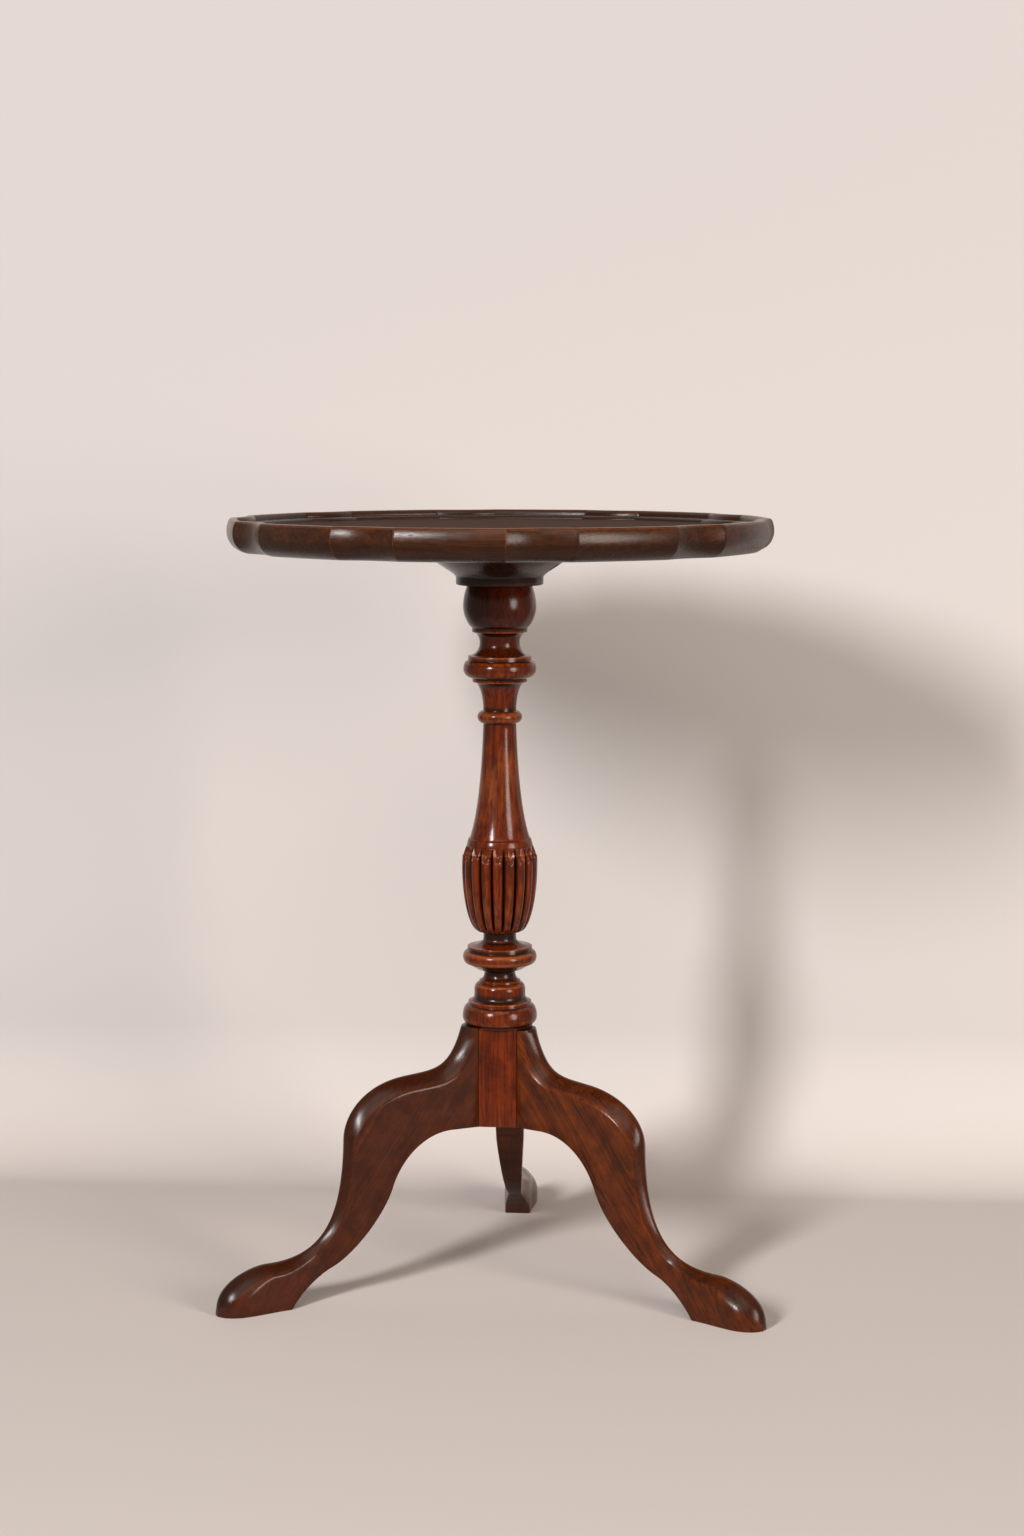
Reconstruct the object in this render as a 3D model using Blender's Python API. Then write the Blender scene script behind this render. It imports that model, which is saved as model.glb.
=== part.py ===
"""Tripod wine table: a piecrust top on a turned and fluted column with three cabriole legs.

The top is one dished board with a scalloped rim. A turned collar under it is held by four
screws and carried on the wedged round tenon of the column. Each leg hangs on the block at
the foot of the column by a stopped sliding dovetail. Nothing on the table moves.

Lengths are in metres and +Z is up. The origin lies on the floor, in the middle of the
table's own box, so the column stands a little in front of it.
"""

import math

import bmesh
import bpy
from mathutils import Matrix, Vector

# Fits and fineness of the round pieces
CLEARANCE = 0.0003          # air between two pieces that seat on each other
SCREW_SIDES = 12

# Piecrust top: plan of the rim
TOP_R = 0.240               # from the axis to the ridges of the rim
SCALLOPS = 10               # hollows round the rim
HOLLOW_SPAN = 14.0          # degrees of rim that one hollow takes
HOLLOW_DEPTH = 0.0050       # sweep of a hollow behind its chord
FLAT_BOW = 0.0028           # swell of the long stretches in front of their chord
RIM_TURN = -77.0            # degrees from +X to the middle of one hollow

# Piecrust top: section of the rim
TOP_THICKNESS = 0.028       # underside to the crest of the rim
OVOLO_WIDTH = 0.0162        # rounded lower edge, measured inwards
OVOLO_HEIGHT = 0.017
EDGE_ROUND = 0.0018         # softened outer corner of the crest
CREST_WIDTH = 0.0055
BEAD_WIDTH = 0.0035         # inner moulding, upper step
BEAD_FALL = 0.005
FILLET_WIDTH = 0.0035
COVE_WIDTH = 0.0045         # inner moulding, lower step down to the field
COVE_FALL = 0.0035

# Collar under the top
COLLAR_R = 0.0385           # plain band next to the ball
COLLAR_BAND = 0.0065
COLLAR_FLARE_R = 0.063      # end of the slanting flare
COLLAR_FLARE = 0.0188
COLLAR_EDGE = 0.0047        # plain edge against the top
COLLAR_LEAVE = 0.18         # handles of the flare's curve, as shares of its rise and its spread
COLLAR_ARRIVE = (0.55, 0.50)

# Tenon and wedge
TENON_R = 0.0125
KERF_DEPTH = 0.022
KERF_TOP = 0.0036           # kerf width once the wedge has opened it
KERF_FOOT = 0.0018

# Collar screws
SCREW_CIRCLE_R = 0.050
SCREW_SPREAD = 12.0         # degrees from the X axis to each screw
SCREW_R = 0.0021
SCREW_LENGTH = 0.022
SCREW_POINT = 0.005
SCREW_HEAD_R = 0.0042
SCREW_HEAD = 0.003
SCREW_SINK = 0.0195         # from the foot of the collar up to the head

# Column: block and base torus
BLOCK_RISE = 0.144          # floor to the underside of the block
BLOCK_R = 0.030
BLOCK_HEIGHT = 0.088
BLOCK_FACE = 0.0247         # from the axis to the flat faces that show between the legs
GROOVE_R = 0.0293
GROOVE_HEIGHT = 0.0025
BASE_TORUS_R = 0.0333
BASE_TORUS_LOWER = 0.006
BASE_TORUS_UPPER = 0.011
BASE_FILLET_R = 0.0281
BASE_FILLET = 0.003

# Column: drum and waist
DRUM_R = 0.0228
DRUM_COVE = 0.005
DRUM_PLAIN = 0.005
DRUM_ROUND = 0.0066
WAIST_FOOT_R = 0.0184
WAIST_FOOT = 0.002
WAIST_R = 0.0138
WAIST_LOWER = 0.0072
WAIST_UPPER = 0.0032

# Column: lower torus and the neck under the bulb
LOWER_DISC_R = 0.0205
LOWER_CONE_R = 0.0292       # underside of the torus, which slopes out before it rounds
LOWER_CONE = 0.005
LOWER_TORUS_R = 0.0329
LOWER_TORUS_LOWER = 0.0061
LOWER_TORUS_UPPER = 0.0055
LOWER_FILLET_R = 0.0288
LOWER_FILLET = 0.004
BULB_NECK_R = 0.0146
BULB_NECK_LOWER = 0.007
BULB_NECK_UPPER = 0.0053

# Column: fluted bulb and vase shaft
BULB_FOOT_R = 0.0182
BULB_FOOT = 0.0009
BULB_R = 0.0337
BULB_LOWER = 0.0588
BULB_UPPER = 0.012
BULB_LIP_R = 0.0333
FLUTES = 18
FLUTE_DEPTH = 0.0024
FLUTE_FADE = 0.016          # height over which the flutes deepen from the foot of the bulb
FLUTE_TURN = 1.5            # degrees from +X to the middle of one groove
RIB_EDGE = 0.22             # share of a flute's pitch from the middle of the groove to the rib's edge
RIB_EDGE_DROP = 0.18        # share of the flute's depth that the edge lies below the crown
SHOULDER_R = 0.0294
SHOULDER = 0.0064
BAND_R = 0.0279             # top of the plain band over the shoulder
BAND = 0.0058
SHAFT_FOOT_R = 0.0266
SHAFT_STEP = 0.0012
SHAFT_LENGTH = 0.1021
SHAFT_R = 0.0146
SHAFT_LEAN = (0.45, 0.191)  # lower handle of its curve, as shares of its taper and its length
SHAFT_SLIM = (0.117, 0.544)  # upper handle
COLUMN_SIDES = 2 * FLUTES   # facets round the turned pieces: a groove and a rib for each flute

# Column: astragal, upper torus, neck and ball
ASTRAGAL_R = 0.0197
ASTRAGAL_HALF = 0.0055
UPPER_FLARE_R = 0.0230
UPPER_FLARE = 0.0255
UPPER_LIP_R = 0.0241
UPPER_LIP = 0.0035
UPPER_TORUS_R = 0.0321
UPPER_TORUS_HALF = 0.0078
UPPER_FILLET_R = 0.0278
UPPER_FILLET = 0.004
BALL_NECK_R = 0.0176
BALL_NECK_LOWER = 0.0115
BALL_NECK_UPPER = 0.0095
BALL_FILLET_R = 0.0244
BALL_FILLET = 0.0038
BALL_R = 0.0322
BALL_FOOT_R = 0.0254
BALL_TOP_R = 0.0286
BALL_HALF = 0.0187

# Legs: side outline, radii measured from the column's axis
LEG_ANGLES = {"leg_back": 90.0, "leg_left": 210.0, "leg_right": 330.0}
TOE_R = 0.270
FOOT_LENGTH = 0.065
FOOT_RISE = 0.0408          # height of the foot where its back begins to fall
FOOT_BACK = 0.047           # from the toe to that point
TOE_NOSE = 0.004            # height of the blunt tip
KNEE_R = 0.151
KNEE_DEPTH = 0.041          # from the front of the knee to the arch behind it
LEG_ROOT = 0.0105           # depth of the leg's top end in front of the block
SHOULDER_REACH = 0.069      # from the block to the level part of the back
LEG_DEPTH = 0.0478          # height of the leg there
ARCH_START = 0.025          # level stretch of the underside next to the block
ARCH_DROP = 0.047
HEEL_SLOPE = 0.039          # from the heel in to the ankle
ANKLE_RISE = 0.0307

# Legs: thickness and dovetail
LEG_THICKNESS = 0.0272
ARCH_THICKNESS = 0.0256
ANKLE_THICKNESS = 0.0126
HEEL_WIDTH = 0.0245
FOOT_WIDTH = 0.032
TOE_LENGTH = 0.022          # rounded end of the foot, seen from above
LEG_ROUND = 0.013           # rounding of the back of the leg
TOE_TIP = 0.008             # width of the blunt tip
KEY_NECK = 0.011
KEY_WIDTH = 0.015
KEY_DEPTH = 0.011
KEY_HEIGHT = 0.070

WOOD = (0.16, 0.045, 0.018)
DARK_WOOD = (0.075, 0.028, 0.015)
COLLAR_WOOD = (0.035, 0.016, 0.011)
PALE_WOOD = (0.30, 0.16, 0.08)
STEEL = (0.35, 0.33, 0.31)


def clear_scene():
    for item in list(bpy.data.objects):
        bpy.data.objects.remove(item, do_unlink=True)


def finish(name, colour, roughness, metallic=0.0):
    """One Principled material."""
    material = bpy.data.materials.new(name)
    material.use_nodes = True
    shader = material.node_tree.nodes["Principled BSDF"]
    shader.inputs["Base Color"].default_value = (*colour, 1.0)
    shader.inputs["Roughness"].default_value = roughness
    shader.inputs["Metallic"].default_value = metallic
    return material


def quarter(start, end, steps, level_first):
    """Quarter ellipse between two points: it leaves level and arrives plumb, or the reverse."""
    points = []
    for step in range(1, steps + 1):
        turn = math.radians(90.0) * step / steps
        slow, fast = 1.0 - math.cos(turn), math.sin(turn)
        across, up = (fast, slow) if level_first else (slow, fast)
        points.append((start[0] + (end[0] - start[0]) * across, start[1] + (end[1] - start[1]) * up))
    return points


def bezier(start, leave, arrive, end, t):
    """Point on a cubic curve with its two handles."""
    s = 1.0 - t
    weights = (s ** 3, 3 * s * s * t, 3 * s * t * t, t ** 3)
    corners = (start, leave, arrive, end)
    return tuple(sum(w * p[axis] for w, p in zip(weights, corners)) for axis in (0, 1))


def smooth(t):
    return t * t * (3.0 - 2.0 * t)


class Profile:
    """Outline of a turning, followed from the foot upwards as (radius, height, flute depth)."""

    def __init__(self, radius, height):
        self.points = [(radius, height, 0.0)]

    def end(self):
        return self.points[-1][:2]

    def add(self, points):
        self.points += [(radius, height, 0.0) for radius, height in points]

    def line(self, radius, rise):
        self.add([(radius, self.end()[1] + rise)])

    def from_level(self, radius, rise, steps=3):
        start = self.end()
        self.add(quarter(start, (radius, start[1] + rise), steps, True))

    def from_plumb(self, radius, rise, steps=3):
        start = self.end()
        self.add(quarter(start, (radius, start[1] + rise), steps, False))


def polar(radius, degrees, height):
    turn = math.radians(degrees)
    return Vector((radius * math.cos(turn), radius * math.sin(turn), height))


def new_ring(bm, radius, height, flute_depth=0.0, sides=COLUMN_SIDES):
    """Ring of vertices round the axis. A fluted ring has a groove, a rib and its two edges per flute."""
    if not flute_depth:
        return [bm.verts.new(polar(radius, 360.0 * i / sides, height)) for i in range(sides)]
    pitch = 360.0 / FLUTES
    edge = radius - flute_depth * RIB_EDGE_DROP
    ring = []
    for flute in range(FLUTES):
        across = ((0.0, radius - flute_depth), (RIB_EDGE, edge), (0.5, radius), (1.0 - RIB_EDGE, edge))
        for share, reach in across:
            ring.append(bm.verts.new(polar(reach, pitch * (flute + share), height)))
    return ring


def skin(bm, lower, upper):
    """Faces between two rings of the same count, or where one has twice the vertices of the other."""
    count = min(len(lower), len(upper))
    for i in range(count):
        j = (i + 1) % count
        if len(lower) == len(upper):
            bm.faces.new((lower[i], lower[j], upper[j], upper[i]))
        elif len(upper) > len(lower):
            left, middle, right = upper[2 * i], upper[2 * i + 1], upper[2 * j]
            bm.faces.new((lower[i], middle, left))
            bm.faces.new((lower[i], lower[j], middle))
            bm.faces.new((lower[j], right, middle))
        else:
            left, middle, right = lower[2 * i], lower[2 * i + 1], lower[2 * j]
            bm.faces.new((left, middle, upper[i]))
            bm.faces.new((middle, upper[j], upper[i]))
            bm.faces.new((middle, right, upper[j]))


def loft(bm, rings, closed=False):
    """Skin a row of rings, with caps on both ends unless the row closes on itself."""
    for lower, upper in zip(rings, rings[1:]):
        skin(bm, lower, upper)
    if closed:
        skin(bm, rings[-1], rings[0])
    else:
        bm.faces.new(list(reversed(rings[0])))
        bm.faces.new(rings[-1])


def finished_mesh(name, bm):
    bmesh.ops.recalc_face_normals(bm, faces=bm.faces)
    mesh = bpy.data.meshes.new(name)
    bm.to_mesh(mesh)
    bm.free()
    return mesh


def turned(name, points, sides=COLUMN_SIDES, closed=False):
    """Mesh of a turned piece from its outline."""
    bm = bmesh.new()
    rings = [new_ring(bm, p[0], p[1], p[2] if len(p) > 2 else 0.0, sides) for p in points]
    loft(bm, rings, closed)
    return finished_mesh(name, bm)


def prism(name, outline, low, high):
    """Mesh of a plan outline stood up between two heights."""
    bm = bmesh.new()
    loft(bm, [[bm.verts.new((x, y, z)) for x, y in outline] for z in (low, high)])
    return finished_mesh(name, bm)


def place(name, mesh, location=(0.0, 0.0, 0.0), turn=0.0):
    """Object on the table's axis, at a place and a turn about +Z."""
    piece = bpy.data.objects.new(name, mesh)
    bpy.context.scene.collection.objects.link(piece)
    piece.parent = table_axis
    piece.location = location
    piece.rotation_euler.z = math.radians(turn)
    return piece


def dress(piece, material, crease=35.0):
    """Give a piece its material and round shading, with sharp edges over the crease angle."""
    piece.data.materials.append(material)
    piece.data.shade_smooth()
    piece.data.set_sharp_from_angle(angle=math.radians(crease))


def cutter(name, meshes):
    """One hidden cutting tool from several separate bodies, given as (mesh, matrix)."""
    bm = bmesh.new()
    for mesh, matrix in meshes:
        mesh.transform(matrix)
        bm.from_mesh(mesh)
    tool = place(name, finished_mesh(name, bm))
    tool.hide_render = True
    tool.display_type = "WIRE"
    return tool


def cut(piece, tool, operation="DIFFERENCE"):
    modifier = piece.modifiers.new(tool.name, "BOOLEAN")
    modifier.operation = operation
    modifier.solver = "EXACT"
    modifier.object = tool


def about_axis(degrees):
    return Matrix.Rotation(math.radians(degrees), 4, "Z")


def rim_outline():
    """Plan of the rim as (angle, radius): a hollow, then a long stretch, ten times round."""
    pitch = 360.0 / SCALLOPS
    points = []
    for scallop in range(SCALLOPS):
        middle = RIM_TURN + pitch * scallop
        stretches = ((middle, HOLLOW_SPAN / 2, -HOLLOW_DEPTH, 5),
                     (middle + pitch / 2, (pitch - HOLLOW_SPAN) / 2, FLAT_BOW, 4))
        for centre, half, bulge, steps in stretches:
            for step in range(steps):
                share = 2.0 * step / steps - 1.0
                chord = TOP_R * math.cos(math.radians(half)) / math.cos(math.radians(half * share))
                points.append((centre + half * share, chord + bulge * (1.0 - share * share)))
    return points


clear_scene()

polish = finish("polished_mahogany", WOOD, 0.25)
dark_polish = finish("dark_mahogany", DARK_WOOD, 0.25)
collar_polish = finish("blackened_mahogany", COLLAR_WOOD, 0.35)
bare_wood = finish("bare_wood", PALE_WOOD, 0.6)
steel = finish("screw_steel", STEEL, 0.4, 1.0)

# The axis of the column, set forward so that the origin is the middle of the table's box
rim = rim_outline()
front_reach = max(-radius * math.sin(math.radians(angle)) for angle, radius in rim)
table_axis = bpy.data.objects.new("table_axis", None)
table_axis.location.y = (front_reach - TOE_R) / 2
bpy.context.scene.collection.objects.link(table_axis)

# Column: one turning from the block up to the tenon, heights from the underside of the block
column_line = Profile(BLOCK_R, 0.0)
column_line.line(BLOCK_R, BLOCK_HEIGHT)
column_line.line(GROOVE_R, 0.0)
column_line.line(GROOVE_R, GROOVE_HEIGHT)
column_line.from_level(BASE_TORUS_R, BASE_TORUS_LOWER)
column_line.from_plumb(BASE_FILLET_R, BASE_TORUS_UPPER)
column_line.line(BASE_FILLET_R, BASE_FILLET)
column_line.from_level(DRUM_R, DRUM_COVE)
column_line.line(DRUM_R, DRUM_PLAIN)
column_line.from_plumb(WAIST_FOOT_R, DRUM_ROUND)
column_line.line(WAIST_FOOT_R, WAIST_FOOT)
column_line.from_level(WAIST_R, WAIST_LOWER)
column_line.from_plumb(LOWER_DISC_R, WAIST_UPPER)
column_line.line(LOWER_CONE_R, LOWER_CONE)
column_line.from_level(LOWER_TORUS_R, LOWER_TORUS_LOWER)
column_line.from_plumb(LOWER_FILLET_R, LOWER_TORUS_UPPER)
column_line.line(LOWER_FILLET_R, LOWER_FILLET)
column_line.from_level(BULB_NECK_R, BULB_NECK_LOWER)
column_line.line(BULB_NECK_R, BULB_NECK_UPPER)

# Column: the bulb, whose flutes fade out at its foot and end under its lip
column_line.line(BULB_FOOT_R, BULB_FOOT)
bulb_start = len(column_line.points)
bulb_foot = column_line.end()[1]
column_line.from_level(BULB_R, BULB_LOWER, steps=8)
column_line.from_plumb(BULB_LIP_R, BULB_UPPER, steps=2)
for index in range(bulb_start, len(column_line.points) - 1):
    radius, height, _ = column_line.points[index]
    fade = smooth(min(1.0, (height - bulb_foot) / FLUTE_FADE))
    column_line.points[index] = (radius, height, FLUTE_DEPTH * fade)

# Column: plain band over the shoulder, then the vase shaft, a long curve that leaves it leaning in
column_line.line(SHOULDER_R, SHOULDER)
column_line.line(BAND_R, BAND)
column_line.line(SHAFT_FOOT_R, SHAFT_STEP)
shaft_foot = column_line.end()
shaft_head = (SHAFT_R, shaft_foot[1] + SHAFT_LENGTH)
lean, rise = SHAFT_LEAN
taper = SHAFT_FOOT_R - SHAFT_R
leave = (SHAFT_R + lean * taper, shaft_foot[1] + rise * SHAFT_LENGTH)
spare, rise = SHAFT_SLIM
arrive = (SHAFT_R + spare * taper, shaft_foot[1] + rise * SHAFT_LENGTH)
column_line.add([bezier(shaft_foot, leave, arrive, shaft_head, step / 7) for step in range(1, 8)])

# Column: astragal ring, flare, upper torus, neck and ball
column_line.from_level(ASTRAGAL_R, ASTRAGAL_HALF)
column_line.from_plumb(SHAFT_R, ASTRAGAL_HALF)
column_line.from_plumb(UPPER_FLARE_R, UPPER_FLARE, steps=4)
column_line.line(UPPER_LIP_R, 0.0)
column_line.line(UPPER_LIP_R, UPPER_LIP)
column_line.from_level(UPPER_TORUS_R, UPPER_TORUS_HALF)
column_line.from_plumb(UPPER_FILLET_R, UPPER_TORUS_HALF)
column_line.line(UPPER_FILLET_R, UPPER_FILLET)
column_line.from_level(BALL_NECK_R, BALL_NECK_LOWER)
column_line.from_plumb(BALL_FILLET_R, BALL_NECK_UPPER)
column_line.line(BALL_FILLET_R, BALL_FILLET)
ball_centre = column_line.end()[1] + BALL_HALF
for step in range(-4, 5):
    lift = step / 4
    ball_end = BALL_TOP_R if lift > 0 else BALL_FOOT_R
    column_line.add([(BALL_R - (BALL_R - ball_end) * lift * lift, ball_centre + BALL_HALF * lift)])
collar_height = COLLAR_BAND + COLLAR_FLARE + COLLAR_EDGE
collar_foot = column_line.end()[1] + CLEARANCE
column_line.line(TENON_R, 0.0)
column_line.line(TENON_R, CLEARANCE + collar_height)
column = place("column", turned("column", column_line.points), (0.0, 0.0, BLOCK_RISE), FLUTE_TURN)

# Column: flats for the legs, stopped dovetail sockets and the kerf of the tenon
flat = math.sqrt(BLOCK_R ** 2 - (LEG_THICKNESS / 2) ** 2)


def dovetail(gap, mouth):
    """Plan of the key, or of its socket with a gap all round, reaching out past the flat by mouth."""
    neck = KEY_NECK / 2 + gap
    wide = KEY_WIDTH / 2 + gap
    tail = flat - KEY_DEPTH - gap
    half = [(flat + mouth, neck), (flat, neck), (tail, wide)]
    return half + [(x, -y) for x, y in reversed(half)]


past = BLOCK_R / 2


def flat_plan(inner):
    """Plan of what is cut away outside a flat at that distance from the axis."""
    return [(inner, -BLOCK_R), (2 * BLOCK_R, -BLOCK_R), (2 * BLOCK_R, BLOCK_R), (inner, BLOCK_R)]


flat_cuts = []
face_cuts = []
socket_cuts = []
for angle in LEG_ANGLES.values():
    top_of_flat = BLOCK_RISE + BLOCK_HEIGHT + GROOVE_HEIGHT / 2
    flat_cuts.append((prism("flat", flat_plan(flat), BLOCK_RISE - past, top_of_flat), about_axis(angle)))
    top_of_face = BLOCK_RISE + BLOCK_HEIGHT + GROOVE_HEIGHT / 3
    face = prism("face", flat_plan(BLOCK_FACE), BLOCK_RISE - past, top_of_face)
    face_cuts.append((face, about_axis(angle + 180.0)))
    top_of_socket = BLOCK_RISE + KEY_HEIGHT + CLEARANCE
    socket = prism("socket", dovetail(CLEARANCE, past), BLOCK_RISE - past, top_of_socket)
    socket_cuts.append((socket, about_axis(angle)))
tenon_end = collar_foot + collar_height + BLOCK_RISE


def wedge_mesh(name, gap, length, rise):
    """Wedge shape across the tenon, widened by a gap on both faces and carried up by rise."""
    bm = bmesh.new()
    growth = (KERF_TOP - KERF_FOOT) / KERF_DEPTH
    rings = []
    for height in (-KERF_DEPTH, rise):
        half = (KERF_TOP + growth * height) / 2 + gap
        plan = ((-length, -half), (length, -half), (length, half), (-length, half))
        rings.append([bm.verts.new((x, y, height)) for x, y in plan])
    loft(bm, rings)
    return finished_mesh(name, bm)


kerf = wedge_mesh("kerf", CLEARANCE, 2 * TENON_R, TENON_R)
cut(column, cutter("cutter_leg_flats", flat_cuts))
cut(column, cutter("cutter_block_faces", face_cuts))
cut(column, cutter("cutter_leg_sockets", socket_cuts))
cut(column, cutter("cutter_kerf", [(kerf, Matrix.Translation((0.0, 0.0, tenon_end - CLEARANCE)))]))
dress(column, polish)

# Wedge in the kerf, flush with the end of the tenon and inside its round
wedge_half = math.sqrt(TENON_R ** 2 - KERF_TOP ** 2 / 4) - CLEARANCE
tenon_wedge = place("tenon_wedge", wedge_mesh("tenon_wedge", 0.0, wedge_half, 0.0), (0.0, 0.0, tenon_end))
dress(tenon_wedge, bare_wood)

# Legs: one shape for all three, drawn along +X from the axis outwards with the floor at zero.
# A knot of an outline is its place, its heading in degrees and the lengths of the handles before
# and after it, as shares of the chord to the next knot.
block_top = BLOCK_RISE + BLOCK_HEIGHT
leg_face = flat + CLEARANCE
heel_r = TOE_R - FOOT_LENGTH
ridge = (
    ((leg_face + LEG_ROOT, block_top), -73.0, 0.0, 0.60),
    ((leg_face + SHOULDER_REACH, BLOCK_RISE + LEG_DEPTH), -7.6, 0.44, 0.52),
    ((KNEE_R, BLOCK_RISE), -88.4, 0.26, 0.53),
    ((TOE_R - FOOT_BACK, FOOT_RISE), 0.0, 0.44, 0.28),
    ((TOE_R, TOE_NOSE), -93.0, 0.40, 0.0),
)
arch = (
    ((leg_face + ARCH_START, BLOCK_RISE), 0.0, 0.0, 0.37),
    ((KNEE_R - KNEE_DEPTH, BLOCK_RISE - ARCH_DROP), -72.0, 0.36, 0.30),
    ((heel_r - HEEL_SLOPE, ANKLE_RISE), -24.3, 0.26, 0.27),
    ((heel_r, 0.0), -58.0, 0.34, 0.0),
)


def along(knots, index, t):
    """Point on the smooth curve between one knot and the next."""
    (start, heading, _, after), (end, arriving, before, _) = knots[index], knots[index + 1]
    chord = math.dist(start, end)
    a, b = math.radians(heading), math.radians(arriving)
    leave = (start[0] + after * chord * math.cos(a), start[1] + after * chord * math.sin(a))
    arrive = (end[0] - before * chord * math.cos(b), end[1] - before * chord * math.sin(b))
    return bezier(start, leave, arrive, end, t)


def leg_stations():
    """Sections down the leg as (point on the back, point underneath, half thickness)."""
    full = LEG_THICKNESS / 2
    stations = []
    root_steps = 5
    root_spread = 1.5
    level_steps = 3
    for step in range(root_steps + level_steps):
        t = step / (root_steps + level_steps)
        if step <= root_steps:
            under = (leg_face, block_top - BLOCK_HEIGHT * (step / root_steps) ** root_spread)
        else:
            under = (leg_face + ARCH_START * (step - root_steps) / level_steps, BLOCK_RISE)
        stations.append((along(ridge, 0, t), under, full))
    for step in range(7):
        t = step / 7
        half = full + (ARCH_THICKNESS / 2 - full) * t
        stations.append((along(ridge, 1, t), along(arch, 0, t), half))
    ankle_share = 0.7
    for step in range(7):
        t = step / 7
        half = (ARCH_THICKNESS + (ANKLE_THICKNESS - ARCH_THICKNESS) * t) / 2
        stations.append((along(ridge, 2, ankle_share * t), along(arch, 1, t), half))
    for step in range(4):
        t = step / 4
        half = (ANKLE_THICKNESS + (HEEL_WIDTH - ANKLE_THICKNESS) * smooth(t)) / 2
        stations.append((along(ridge, 2, ankle_share + (1.0 - ankle_share) * t), along(arch, 2, t), half))
    for step in range(8):
        t = step / 7
        sole = math.sin(math.radians(90.0) * t)
        pad = TOE_LENGTH / FOOT_LENGTH
        swell = smooth(min(1.0, sole / (1.0 - pad)))
        nose = math.sqrt(1.0 - max(0.0, (sole - 1.0) / pad + 1.0) ** 2)
        half = (HEEL_WIDTH + (FOOT_WIDTH - HEEL_WIDTH) * swell) / 2
        under = (heel_r + FOOT_LENGTH * sole, 0.0)
        stations.append((along(ridge, 3, t), under, max(TOE_TIP / 2, half * nose)))
    return stations


def leg_section(bm, back, under, half):
    """One section: square corners underneath, plumb sides and a rounded back."""
    foot, head = Vector((under[0], 0.0, under[1])), Vector((back[0], 0.0, back[1]))
    depth = (head - foot).length
    upwards = (head - foot) / depth
    most_of_depth, most_of_half = 0.8 * depth, 0.95 * half
    rounding = min(LEG_ROUND, most_of_depth, most_of_half)
    right = [(half, 0.0)]
    for step in range(4):
        turn = math.radians(90.0) * step / 4
        right.append((half * math.cos(turn), depth - rounding + rounding * math.sin(turn)))
    outline = right + [(0.0, depth)] + [(-side, up) for side, up in reversed(right)]
    return [bm.verts.new(foot + upwards * up + Vector((0.0, side, 0.0))) for side, up in outline]


bm = bmesh.new()
loft(bm, [leg_section(bm, *station) for station in leg_stations()])
leg_blank = place("leg_blank", finished_mesh("leg_blank", bm))
key_lap = LEG_ROOT / 3
key_plan = [(x + CLEARANCE, y) for x, y in dovetail(0.0, key_lap)]
key_blank = place("key_blank", prism("key_blank", key_plan, BLOCK_RISE, BLOCK_RISE + KEY_HEIGHT))
cut(leg_blank, key_blank, "UNION")
shape = leg_blank.evaluated_get(bpy.context.evaluated_depsgraph_get())
leg_mesh = bpy.data.meshes.new_from_object(shape)
leg_mesh.name = "leg"
for blank in (leg_blank, key_blank):
    bpy.data.objects.remove(blank, do_unlink=True)
legs = [place(name, leg_mesh, turn=angle) for name, angle in LEG_ANGLES.items()]
dress(legs[0], polish)

# Collar: a turned ring round the tenon, with the plain edge against the top
collar_line = Profile(TENON_R + CLEARANCE, 0.0)
collar_line.line(COLLAR_R, 0.0)
collar_line.line(COLLAR_R, COLLAR_BAND)
flare_foot = collar_line.end()
flare_head = (COLLAR_FLARE_R, COLLAR_BAND + COLLAR_FLARE)
spread, rise = COLLAR_ARRIVE
leave = (COLLAR_R, flare_foot[1] + COLLAR_LEAVE * COLLAR_FLARE)
arrive = (COLLAR_R + spread * (COLLAR_FLARE_R - COLLAR_R), flare_foot[1] + rise * COLLAR_FLARE)
collar_line.add([bezier(flare_foot, leave, arrive, flare_head, step / 6) for step in range(1, 7)])
collar_line.line(COLLAR_FLARE_R, COLLAR_EDGE)
collar_line.line(TENON_R + CLEARANCE, 0.0)
collar_z = BLOCK_RISE + collar_foot
collar = place("top_collar", turned("top_collar", collar_line.points, closed=True), (0.0, 0.0, collar_z))
top_z = collar_z + collar_height + CLEARANCE

# Screws: flat heads sunk in the collar, driven up into the top
head_z = collar_z + SCREW_SINK


def screw_outline():
    """Outline of a screw that points up from its flat head."""
    head = [(SCREW_HEAD_R, 0.0), (SCREW_R, SCREW_HEAD)]
    point = [(SCREW_R, SCREW_LENGTH - SCREW_POINT), (SCREW_R / 5, SCREW_LENGTH)]
    return head + point


def hole_outline():
    """Outline of its hole, open below the head, with the clearance all round."""
    head = SCREW_HEAD_R + CLEARANCE
    shank = SCREW_R + CLEARANCE
    return [(head, -SCREW_SINK), (head, 0.0), (shank, SCREW_HEAD), (shank, SCREW_LENGTH + CLEARANCE)]


screw_angles = (SCREW_SPREAD, 180.0 - SCREW_SPREAD, 180.0 + SCREW_SPREAD, -SCREW_SPREAD)
screw_mesh = turned("collar_screw", screw_outline(), SCREW_SIDES)
screws = []
holes = []
for number, angle in enumerate(screw_angles, start=1):
    spot = polar(SCREW_CIRCLE_R, angle, head_z)
    screws.append(place(f"collar_screw_{number}", screw_mesh, spot))
    holes.append((turned("hole", hole_outline(), SCREW_SIDES), Matrix.Translation(spot)))
dress(screws[0], steel)
screw_holes = cutter("cutter_screw_holes", holes)
cut(collar, screw_holes)
dress(collar, collar_polish)

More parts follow.
